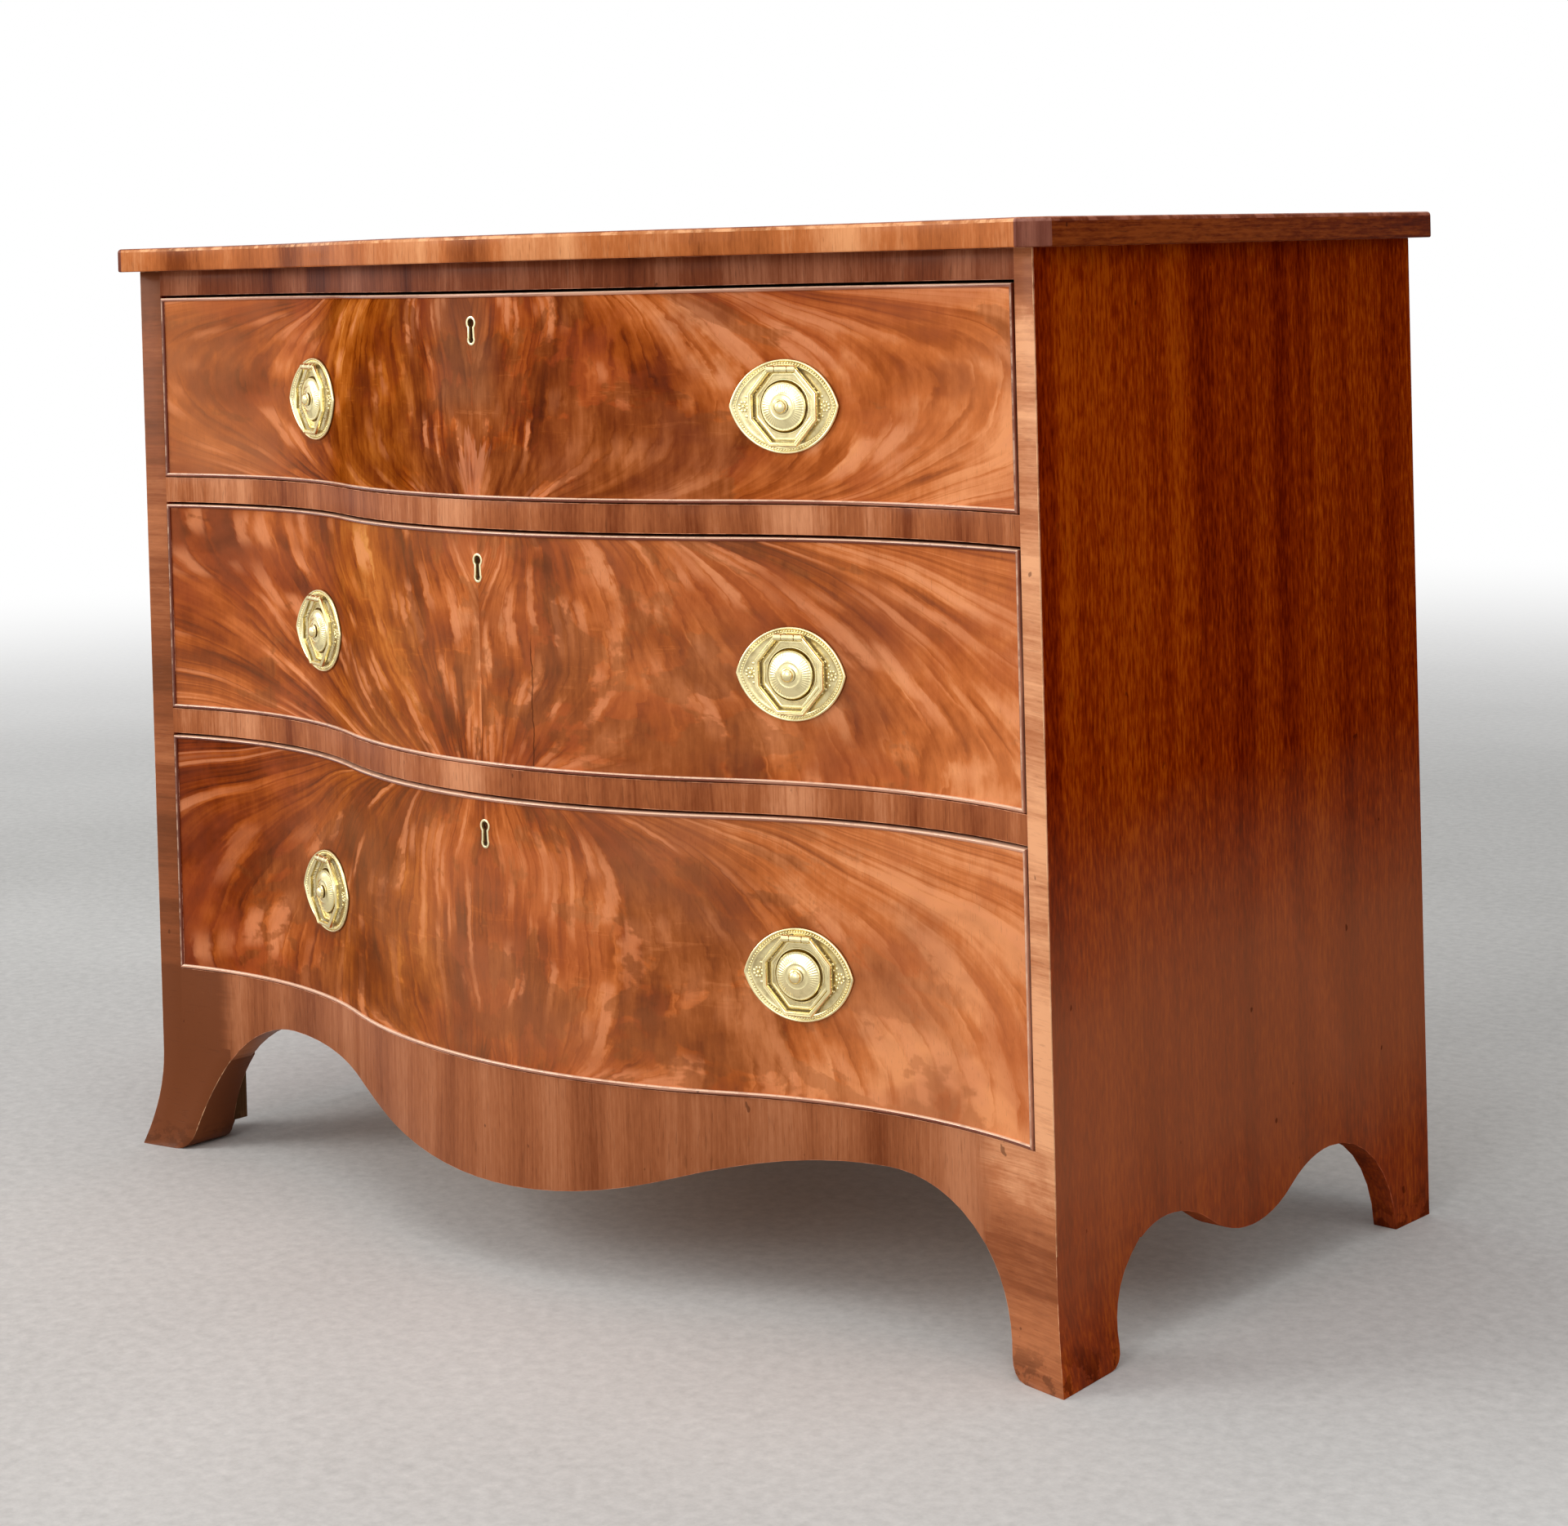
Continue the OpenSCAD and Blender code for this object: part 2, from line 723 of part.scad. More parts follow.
module lock_case(k) {
    color(steel) {
        difference() {
            board(-lock_w / 2, lock_w / 2, lock_y0, lock_y1, lock_z0(k), front_z1(k));
            board(-bolt_w / 2 - bolt_gap, bolt_w / 2 + bolt_gap, bolt_y0 - bolt_gap, bolt_y1 + bolt_gap,
                  front_z1(k) - bolt_h - bolt_gap, front_z1(k) + over);
            translate([0, lock_y0 + key_pin_l, key_z(k)]) rotate([90, 0, 0])
                cylinder(h = key_pin_l + over, r = key_r, $fn = 40);
        }
        translate([0, lock_y0 + key_pin_l + over, key_z(k)]) rotate([90, 0, 0])
            cylinder(h = key_pin_l + over, r = key_pin_r, $fn = 32);
    }
}

module lock_bolt(k) {
    color(brass) board(-bolt_w / 2, bolt_w / 2, bolt_y0, bolt_y1, front_z1(k) - bolt_h, front_z1(k));
}

// Radius of the keyhole's foot and half widths of its slot, as shares of the radius of its eye
key_foot = 0.72;
key_neck = 0.5;
key_low = 0.61;

// Keyhole shape of length l along Z: a round eye over a slot that widens to a round foot
module keyhole_shape(grow, l) {
    eye_r = escutcheon_w / 2 - escutcheon_rim;
    foot_r = eye_r * key_foot;
    foot_down = escutcheon_h - escutcheon_w / 2 - escutcheon_rim - foot_r;
    neck = eye_r * key_neck;
    low = eye_r * key_low;
    cylinder(h = l, r = eye_r + grow, $fn = 48);
    translate([0, -foot_down, 0]) cylinder(h = l, r = foot_r + grow, $fn = 32);
    linear_extrude(l)
        polygon([[-neck - grow, 0], [neck + grow, 0], [low + grow, -foot_down], [-low - grow, -foot_down]]);
}

escutcheon_d = 4;
escutcheon_out = 0.4;

module key_prism(k, grow, y0, y1) {
    translate([0, y1, key_z(k)]) rotate([90, 0, 0]) keyhole_shape(grow, y1 - y0);
}

module keyhole(k) {
    key_prism(k, 0, front_y(0) - over, lock_y0 + over);
}

// The escutcheon before its keyhole is cut, which is also the recess for it
module escutcheon_body(k) {
    key_prism(k, escutcheon_rim, front_y(0) - escutcheon_out, front_y(0) + escutcheon_d);
}

module escutcheon(k) {
    color(brass) difference() {
        escutcheon_body(k);
        keyhole(k);
    }
}

// PULLS

// Angle of the front curve at a pull, as a turn about Z of the pull at the right
pull_turn = atan((reach(pull_x - flat / 2) - reach(pull_x + flat / 2)) / flat);
hinge_up = bail_h / 2 - bail_bar / 2 - pin_r / 4;
barrel_l = 10;
knuckle_l = 6.5;
knuckle_gap = 0.3;
pin_fit = 0.05;
pin_gap = 0.4;
panel_out = 2.8;
hinge_out = panel_out + knuckle_r + pin_gap;
bail_flat_x = 11;
bail_flat_z = 10;
nut_w = 12;
nut_h = 4;

function pull_z(k) = open_z(k) + pull_rise * open_h[k];

// Puts a pull in place, with its outline in XZ and the way out of the drawer along -Y
module at_pull(k, side) {
    translate([side * pull_x, front_y(side * pull_x), pull_z(k)]) rotate([0, 0, side * pull_turn]) children();
}

// Extrudes a pull's outline from near to far out of the drawer
module pull_extrude(near, far) {
    translate([0, -near, 0]) rotate([90, 0, 0]) linear_extrude(far - near) children();
}

// Solid of revolution about the way out
module pull_turned(profile) {
    rotate([90, 0, 0]) rotate_extrude($fn = 64) polygon(profile);
}

// Two equal arcs that meet in points at the ends
module navette(w, h) {
    r = (w * w + h * h) / (4 * h);
    intersection() {
        translate([0, h / 2 - r]) circle(r = r, $fn = 96);
        translate([0, r - h / 2]) circle(r = r, $fn = 96);
    }
}

function eight_sides(w, h, fx, fz) =
    [[fx, h / 2], [w / 2, fz], [w / 2, -fz], [fx, -h / 2],
     [-fx, -h / 2], [-w / 2, -fz], [-w / 2, fz], [-fx, h / 2]];

// Eight-sided outline of the bail, drawn in by an inset that keeps the bar's width even
module bail_outline(inset) {
    cut = inset * tan(22.5);
    polygon(eight_sides(bail_w - 2 * inset, bail_h - 2 * inset, bail_flat_x - cut, bail_flat_z - cut));
}

// Plan of the front curve around a pull
module pull_strip(side, near, far) {
    half = plate_w / 2 + flat;
    curved_strip(side * pull_x - half, side * pull_x + half, near, far);
}

// A skin of the front curve, cut to a pull's outline
module pull_skin(k, side, near, far) {
    intersection() {
        slab(pull_z(k) - plate_h, 2 * plate_h) pull_strip(side, -far, -near);
        at_pull(k, side) pull_extrude(-plate_w / 4, plate_w / 4) children();
    }
}

panel_gap = 1;
// Ring around the boss: its width, and its height over the panel
ring_w = 3;
ring_up = 2;
// Points of the dome inside the ring, as shares of the boss's radius and height
dome = [[0.7, 0.75], [0.5, 0.94]];
// Height of the knob, and the points of its cap as shares of its radius and height
knob_h = 4.5;
cap = [[1, 0.22], [0.8, 0.67], [0.4, 0.93]];

module pull_plate(k, side) {
    color(brass) difference() {
        union() {
            pull_skin(k, side, 0, plate_t) navette(plate_w, plate_h);
            pull_skin(k, side, 0, 2 * plate_t) difference() {
                navette(plate_w, plate_h);
                navette(plate_w - 2 * plate_rim, plate_h - 2 * plate_rim);
            }
            at_pull(k, side) {
                pull_extrude(plate_t / 2, panel_out) bail_outline(bail_bar + panel_gap);
                pull_turned(concat(
                    [[0, plate_t / 2], [boss_r, plate_t / 2], [boss_r, panel_out + ring_up / 2],
                     [boss_r - ring_w / 2, panel_out + ring_up], [boss_r - ring_w, panel_out + ring_up / 2]],
                    [for (p = dome) [p[0] * boss_r, p[1] * boss_h]],
                    [[knob_r, boss_h], [0, boss_h]]));
                translate([0, 0, hinge_up]) rotate([0, 90, 0])
                    translate([0, -hinge_out, -barrel_l / 2]) cylinder(h = barrel_l, r = knuckle_r, $fn = 32);
                translate([-barrel_l / 2, -hinge_out, hinge_up - knuckle_r / 2])
                    cube([barrel_l, hinge_out - plate_t / 2, knuckle_r]);
            }
        }
        at_pull(k, side) {
            translate([0, 0, hinge_up]) rotate([0, 90, 0])
                translate([0, -hinge_out, -barrel_l])
                    cylinder(h = 2 * barrel_l, r = pin_r + pin_fit, $fn = 32);
            pull_shank(pull_bolt_r + screw_fit);
        }
        // Nothing of the plate lies behind the face of the veneer
        slab(pull_z(k) - plate_h, 2 * plate_h) pull_strip(side, 0, front_t);
    }
}

module pull_shank(r) {
    translate([0, nut_y + nut_h, 0]) rotate([90, 0, 0])
        cylinder(h = nut_y + nut_h + boss_h, r = r, $fn = 32);
}

// Where the nut meets the inner face of the drawer front
nut_gap = 0.15;
nut_y = front_t * cos(pull_turn) + nut_gap;

module pull_holes(k) {
    for (side = [LEFT, RIGHT]) at_pull(k, side) pull_shank(pull_bolt_r + screw_fit);
}

module pull_bolts(k) {
    color(brass) for (side = [LEFT, RIGHT]) at_pull(k, side) {
        pull_turned(concat(
            [[0, boss_h - over], [pull_bolt_r, boss_h - over], [pull_bolt_r, boss_h], [knob_r, boss_h]],
            [for (p = cap) [p[0] * knob_r, boss_h + p[1] * knob_h]],
            [[0, boss_h + knob_h]]));
        pull_shank(pull_bolt_r);
        translate([-nut_w / 2, nut_y, -nut_w / 2]) cube([nut_w, nut_h, nut_w]);
    }
}

module bail(k, side) {
    reach_x = barrel_l / 2 + knuckle_gap;
    color(brass) at_pull(k, side) {
        pull_extrude(hinge_out - bail_bar / 2, hinge_out + bail_bar / 2) difference() {
            bail_outline(0);
            bail_outline(bail_bar);
            translate([-bail_flat_x + over, bail_h / 2 - 2 * bail_bar])
                square([2 * (bail_flat_x - over), 3 * bail_bar]);
        }
        both_sides() translate([0, 0, hinge_up]) rotate([0, 90, 0])
            translate([0, -hinge_out, reach_x]) cylinder(h = knuckle_l, r = knuckle_r, $fn = 32);
        translate([0, 0, hinge_up]) rotate([0, 90, 0])
            translate([0, -hinge_out, -reach_x - over])
                cylinder(h = 2 * (reach_x + over), r = pin_r, $fn = 32);
    }
}

top_board();
left_side();
right_side();
back_boards();
top_rail();
upper_divider();
lower_divider();
apron();
bottom_board();
upper_dust_board();
lower_dust_board();
drawer_runners();
drawer_stops();
left_front_foot();
right_front_foot();
glue_blocks();
stile_facings();
top_screws();

drawer_front(TOP);  // top_drawer_front
drawer_veneer(TOP);  // top_drawer_veneer
drawer_cockbead(TOP);  // top_drawer_cockbead
drawer_sides(TOP);  // top_drawer_sides
drawer_back(TOP);  // top_drawer_back
drawer_bottom(TOP);  // top_drawer_bottom
lock_case(TOP);  // top_lock
lock_bolt(TOP);  // top_lock_bolt
escutcheon(TOP);  // top_escutcheon
pull_plate(TOP, LEFT);  // top_left_plate
pull_plate(TOP, RIGHT);  // top_right_plate
bail(TOP, LEFT);  // top_left_bail
bail(TOP, RIGHT);  // top_right_bail
pull_bolts(TOP);  // top_pull_bolts

drawer_front(MIDDLE);  // middle_drawer_front
drawer_veneer(MIDDLE);  // middle_drawer_veneer
drawer_cockbead(MIDDLE);  // middle_drawer_cockbead
drawer_sides(MIDDLE);  // middle_drawer_sides
drawer_back(MIDDLE);  // middle_drawer_back
drawer_bottom(MIDDLE);  // middle_drawer_bottom
lock_case(MIDDLE);  // middle_lock
lock_bolt(MIDDLE);  // middle_lock_bolt
escutcheon(MIDDLE);  // middle_escutcheon
pull_plate(MIDDLE, LEFT);  // middle_left_plate
pull_plate(MIDDLE, RIGHT);  // middle_right_plate
bail(MIDDLE, LEFT);  // middle_left_bail
bail(MIDDLE, RIGHT);  // middle_right_bail
pull_bolts(MIDDLE);  // middle_pull_bolts

drawer_front(BOTTOM);  // bottom_drawer_front
drawer_veneer(BOTTOM);  // bottom_drawer_veneer
drawer_cockbead(BOTTOM);  // bottom_drawer_cockbead
drawer_sides(BOTTOM);  // bottom_drawer_sides
drawer_back(BOTTOM);  // bottom_drawer_back
drawer_bottom(BOTTOM);  // bottom_drawer_bottom
lock_case(BOTTOM);  // bottom_lock
lock_bolt(BOTTOM);  // bottom_lock_bolt
escutcheon(BOTTOM);  // bottom_escutcheon
pull_plate(BOTTOM, LEFT);  // bottom_left_plate
pull_plate(BOTTOM, RIGHT);  // bottom_right_plate
bail(BOTTOM, LEFT);  // bottom_left_bail
bail(BOTTOM, RIGHT);  // bottom_right_bail
pull_bolts(BOTTOM);  // bottom_pull_bolts
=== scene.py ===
"""Serpentine commode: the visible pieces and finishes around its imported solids.

Lengths are in metres, in the frame of the solids: X to the right, Y to the back, Z up from the
floor.
"""

from __future__ import annotations

import logging
import math
from dataclasses import dataclass
from enum import Enum
from typing import Callable, Iterable, Sequence, Union

import bmesh
import bpy
from mathutils import Matrix, Vector


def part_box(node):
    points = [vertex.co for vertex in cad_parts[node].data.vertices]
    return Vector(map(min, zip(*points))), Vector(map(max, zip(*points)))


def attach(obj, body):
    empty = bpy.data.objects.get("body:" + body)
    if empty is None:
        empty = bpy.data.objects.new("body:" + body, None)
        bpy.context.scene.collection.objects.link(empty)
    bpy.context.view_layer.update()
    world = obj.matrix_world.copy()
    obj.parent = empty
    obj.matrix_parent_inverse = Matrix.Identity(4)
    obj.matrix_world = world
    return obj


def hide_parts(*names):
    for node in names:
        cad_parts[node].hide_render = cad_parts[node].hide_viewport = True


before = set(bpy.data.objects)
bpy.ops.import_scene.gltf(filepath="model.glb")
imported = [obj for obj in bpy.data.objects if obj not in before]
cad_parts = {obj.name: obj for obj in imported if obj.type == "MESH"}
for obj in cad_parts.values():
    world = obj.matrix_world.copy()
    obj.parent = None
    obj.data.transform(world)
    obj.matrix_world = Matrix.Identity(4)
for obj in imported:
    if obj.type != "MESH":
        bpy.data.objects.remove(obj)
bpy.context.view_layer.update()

log = logging.getLogger("commode")

Piece = bpy.types.Object
Face = bpy.types.MeshPolygon
Material = bpy.types.Material
Tree = bpy.types.NodeTree
Point = tuple[float, float, float]
Ring = list[Point]
Colour = tuple[float, float, float]
Rule = Callable[[Vector, Vector], bool]
Value = Union["Wire", Colour, float]

MM = 0.001
RELIEF = "relief"
# Name of the face value for paler arrises: partly wear, partly a painted highlight.
WEAR_AND_HIGHLIGHT = "worn"
VENEER_HALF_W = 478 * MM


class Side(Enum):
    """A side of the commode, as the sign of X."""

    LEFT = -1
    RIGHT = 1


class Drawer(Enum):
    """The three drawers, by the start of their nodes' names."""

    TOP = "top"
    MIDDLE = "middle"
    BOTTOM = "bottom"


class Grain(Enum):
    """The axis that the grain runs along, by the order that turns this axis to Z."""

    X = "zyx"
    Y = "xzy"
    Z = "xyz"


def screen(*levels: int) -> Colour:
    """Turns a screen colour of 0 to 255 into the linear colour that Blender mixes."""
    shares = [level / 255 for level in levels]
    return tuple(s / 12.92 if s <= 0.04045 else ((s + 0.055) / 1.055) ** 2.4 for s in shares)


def shaded(colour: Colour, share: float, plus: float = 0.0) -> Colour:
    """Makes a colour darker, or paler up to white."""
    return tuple(min(1.0, share * c + plus) for c in colour)


SHELLAC = screen(255, 206, 168)
COAT_ROUGHNESS = 0.14


# The curve that everything in front follows


@dataclass(frozen=True)
class FrontCurve:
    """The serpentine line of the front, as seen from above.

    Attributes:
        line_y: Where the line through the front corners lies.
        bow: How far the middle stands before that line.
        hollow: How far the hollows lie behind it.
        hollow_x: Distance from the middle to the bottom of a hollow.
        bow_r: Radius of the bow.
        flat: Spacing of the points that the solids share with the curve.
    """

    line_y: float = -208.35 * MM
    bow: float = 60 * MM
    hollow: float = 20 * MM
    hollow_x: float = 375 * MM
    bow_r: float = 519 * MM
    flat: float = 20 * MM

    def reach(self, x: float) -> float:
        """Measures the smooth curve.

        Args:
            x: Distance from the middle.

        Returns:
            How far the curve stands before the line of the corners there.
        """
        rise, run, t = self.bow + self.hollow, self.hollow_x, abs(x)
        turn = 2 * math.atan(rise / run)
        end_r = run / math.sin(turn) - self.bow_r
        if t < self.bow_r * math.sin(turn):
            fall = self.bow_r - math.sqrt(self.bow_r**2 - t * t)
        else:
            fall = rise - end_r + math.sqrt(end_r**2 - (run - t) ** 2)
        return self.bow - fall

    def y(self, x: float) -> float:
        """Measures the flats between the shared points.

        Args:
            x: Distance from the middle.

        Returns:
            Y of the front surface there.
        """
        step = math.floor(x / self.flat)
        part = x / self.flat - step
        near, far = self.reach(step * self.flat), self.reach((step + 1) * self.flat)
        return self.line_y - near * (1 - part) - far * part

    def between(self, start: float, end: float) -> list[float]:
        """Lists the shared points of a stretch.

        Args:
            start: X of its left end.
            end: X of its right end.

        Returns:
            X of each point that is clear of the ends.
        """
        first, last = math.ceil(start / self.flat), math.floor(end / self.flat)
        points = [i * self.flat for i in range(first, last + 1)]
        gap = 0.01 * self.flat
        return [x for x in points if start + gap < x < end - gap]


CURVE = FrontCurve()


# Making meshes with Blender's operators


class Bench:
    """Makes and shapes meshes as by hand, with operators."""

    @staticmethod
    def clear() -> None:
        """Leaves edit mode and selects nothing."""
        if bpy.context.object and bpy.context.object.mode != "OBJECT":
            bpy.ops.object.mode_set(mode="OBJECT")
        bpy.ops.object.select_all(action="DESELECT")

    @staticmethod
    def pick(*pieces: Piece) -> None:
        """Selects some pieces alone and makes the first one active.

        Args:
            pieces: The pieces.
        """
        Bench.clear()
        for piece in pieces:
            piece.select_set(True)
        bpy.context.view_layer.objects.active = pieces[0]

    @staticmethod
    def edit(piece: Piece, select: str = "SELECT") -> None:
        """Opens a piece for editing.

        Args:
            piece: The piece.
            select: SELECT for all of it, DESELECT for nothing.
        """
        Bench.pick(piece)
        bpy.ops.object.mode_set(mode="EDIT")
        bpy.ops.mesh.select_all(action=select)

    @staticmethod
    def loft(name: str, rings: Sequence[Ring]) -> Piece:
        """Extrudes a closed outline from ring to ring into one closed shell.

        Args:
            name: The piece's name.
            rings: Outlines of the same number of points each.

        Returns:
            The new piece.
        """
        Bench.clear()
        bpy.ops.mesh.primitive_circle_add(vertices=len(rings[0]), fill_type="NGON")
        piece = bpy.context.active_object
        piece.name = piece.data.name = name
        for vertex, point in zip(piece.data.vertices, rings[0]):
            vertex.co = point
        Bench.edit(piece)
        current = list(range(len(rings[0])))
        for ring in rings[1:]:
            bpy.ops.mesh.extrude_region()
            mesh = bmesh.from_edit_mesh(piece.data)
            mesh.verts.ensure_lookup_table()
            mesh.verts.index_update()
            new = []
            for index, point in zip(current, ring):
                old = mesh.verts[index]
                ends = [edge.other_vert(old) for edge in old.link_edges]
                twin = next(end for end in ends if end.select)
                twin.co = point
                new.append(twin.index)
            current = new
            bmesh.update_edit_mesh(piece.data)
        bpy.ops.mesh.select_all(action="SELECT")
        bpy.ops.mesh.normals_make_consistent(inside=False)
        Bench.clear()
        return piece

    @staticmethod
    def merged_copy(node: str, ending: str) -> Piece:
        """Copies a solid's mesh, with its loose triangles merged into whole faces.

        Args:
            node: The solid's node.
            ending: What the copy's name adds to the node's.

        Returns:
            The copy.
        """
        piece = bpy.data.objects.new(node + ending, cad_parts[node].data.copy())
        bpy.context.scene.collection.objects.link(piece)
        Bench.edit(piece)
        bpy.ops.mesh.customdata_custom_splitnormals_clear()
        bpy.ops.mesh.remove_doubles(threshold=0.002 * MM)
        bpy.ops.mesh.dissolve_limited(angle_limit=math.radians(0.3))
        Bench.clear()
        return piece

    @staticmethod
    def copy(piece: Piece, name: str, matrix: Matrix) -> Piece:
        """Copies a piece to another place, with a mesh of its own and its origin left alone.

        Args:
            piece: The piece.
            name: The copy's name.
            matrix: Moves, turns or mirrors the copy's mesh.

        Returns:
            The copy.
        """
        copy = bpy.data.objects.new(name, piece.data.copy())
        bpy.context.scene.collection.objects.link(copy)
        copy.data.transform(matrix)
        if matrix.determinant() < 0:
            copy.data.flip_normals()
        return copy

    @staticmethod
    def join(name: str, pieces: Sequence[Piece]) -> Piece:
        """Joins pieces into the first one.

        Args:
            name: Its new name.
            pieces: The pieces.

        Returns:
            The joined piece.
        """
        Bench.pick(*pieces)
        bpy.ops.object.join()
        joined = bpy.context.active_object
        joined.name = joined.data.name = name
        return joined

    @staticmethod
    def bevel(piece: Piece, width: float, segments: int = 2, sharper: float = 30.0,
              rule: Rule | None = None) -> None:
        """Rounds the edges that are sharper than an angle.

        Args:
            piece: The piece to shape.
            width: How far the rounding reaches from the edge.
            segments: Faces across the rounding.
            sharper: The least angle, in degrees, between an edge's faces.
            rule: Says of an edge's two ends whether it is rounded.
        """
        Bench.edit(piece, "DESELECT")
        bpy.ops.mesh.select_mode(type="EDGE")
        mesh = bmesh.from_edit_mesh(piece.data)
        least = math.radians(sharper)
        for edge in mesh.edges:
            sharp = len(edge.link_faces) == 2 and edge.calc_face_angle(0.0) > least
            edge.select = sharp and (rule is None or rule(*(vert.co for vert in edge.verts)))
        bmesh.update_edit_mesh(piece.data)
        bpy.ops.mesh.bevel(offset=width, segments=segments, affect="EDGES", clamp_overlap=False)
        bpy.ops.mesh.select_mode(type="VERT")
        Bench.clear()

    @staticmethod
    def rub_edges(piece: Piece, width: float, above: float = -1.0) -> None:
        """Marks the narrow faces of rounded edges, which turn paler: partly wear of the polish,
        partly a painted highlight on the arrises.

        Args:
            piece: The piece.
            width: Faces narrower than this belong to an edge.
            above: Height under which none is marked.
        """
        layer = piece.data.attributes.new(WEAR_AND_HIGHLIGHT, "FLOAT", "FACE")
        for face in piece.data.polygons:
            corners = [piece.data.vertices[i].co for i in face.vertices]
            longest = max((a - b).length for a, b in zip(corners, corners[1:] + corners[:1]))
            narrow = face.area < longest * width and face.center.z > above
            layer.data[face.index].value = float(narrow)

    @staticmethod
    def mark_height(piece: Piece, low: float, high: float) -> Piece:
        """Stores how far each point of a brass piece stands out, for the tarnish in its hollows.

        Args:
            piece: The piece.
            low: Distance out that counts as a hollow.
            high: Distance out from which rubbing has left the brass bright.

        Returns:
            The piece.
        """
        layer = piece.data.attributes.new(RELIEF, "FLOAT", "POINT")
        for held, vertex in zip(layer.data, piece.data.vertices):
            held.value = min(1.0, max(0.0, (-vertex.co.y - low) / (high - low)))
        return piece

    @staticmethod
    def shade(piece: Piece, angle: float = 30.0) -> None:
        """Shades a piece smooth across edges blunter than an angle in degrees."""
        Bench.pick(piece)
        bpy.ops.object.shade_smooth_by_angle(angle=math.radians(angle))


def ring_of(count: int, outline: Callable[[float], tuple[float, float]], out: float) -> Ring:
    """Points at even steps of a full turn, in a pull's plane.

    Args:
        count: How many points.
        outline: Gives X and Z at an angle in radians.
        out: Distance out of the drawer.

    Returns:
        The points.
    """
    spots = [outline(2 * math.pi * i / count) for i in range(count)]
    return [(x, -out, z) for x, z in spots]


def circle(radius: float) -> Callable[[float], tuple[float, float]]:
    """The outline of a circle."""
    return lambda angle: (radius * math.cos(angle), radius * math.sin(angle))


# Wiring of materials


class Wire:
    """A node's output. Arithmetic on it adds Math nodes."""

    def __init__(self, board: Board, socket: bpy.types.NodeSocket) -> None:
        """Takes the output and the board that it is on."""
        self.board, self.socket = board, socket

    def __add__(self, other: Value) -> Wire:
        """The sum."""
        return self.board.math("ADD", self, other)

    def __mul__(self, other: Value) -> Wire:
        """The product."""
        return self.board.math("MULTIPLY", self, other)

    __radd__, __rmul__ = __add__, __mul__

    def __sub__(self, other: Value) -> Wire:
        """The difference."""
        return self.board.math("SUBTRACT", self, other)

    def __rsub__(self, other: Value) -> Wire:
        """What is left of a number."""
        return self.board.math("SUBTRACT", other, self)

    def __truediv__(self, other: Value) -> Wire:
        """The quotient."""
        return self.board.math("DIVIDE", self, other)

    def __pow__(self, other: Value) -> Wire:
        """The power."""
        return self.board.math("POWER", self, other)

    def __abs__(self) -> Wire:
        """The distance from nought."""
        return self.board.math("ABSOLUTE", self)

    def swing(self, gain: Value) -> Wire:
        """Turns a noise about a half into one about nought, of another strength."""
        return (self - 0.5) * gain

    def span(self, *ends: float) -> Wire:
        """Maps one range smoothly to another and holds it at the ends.

        Args:
            ends: The range's low and high end, and the new ones, or else 0 and 1.

        Returns:
            The new value.
        """
        inputs = dict(enumerate((self, *ends)))
        return self.board.node("ShaderNodeMapRange", inputs, interpolation_type="SMOOTHSTEP")


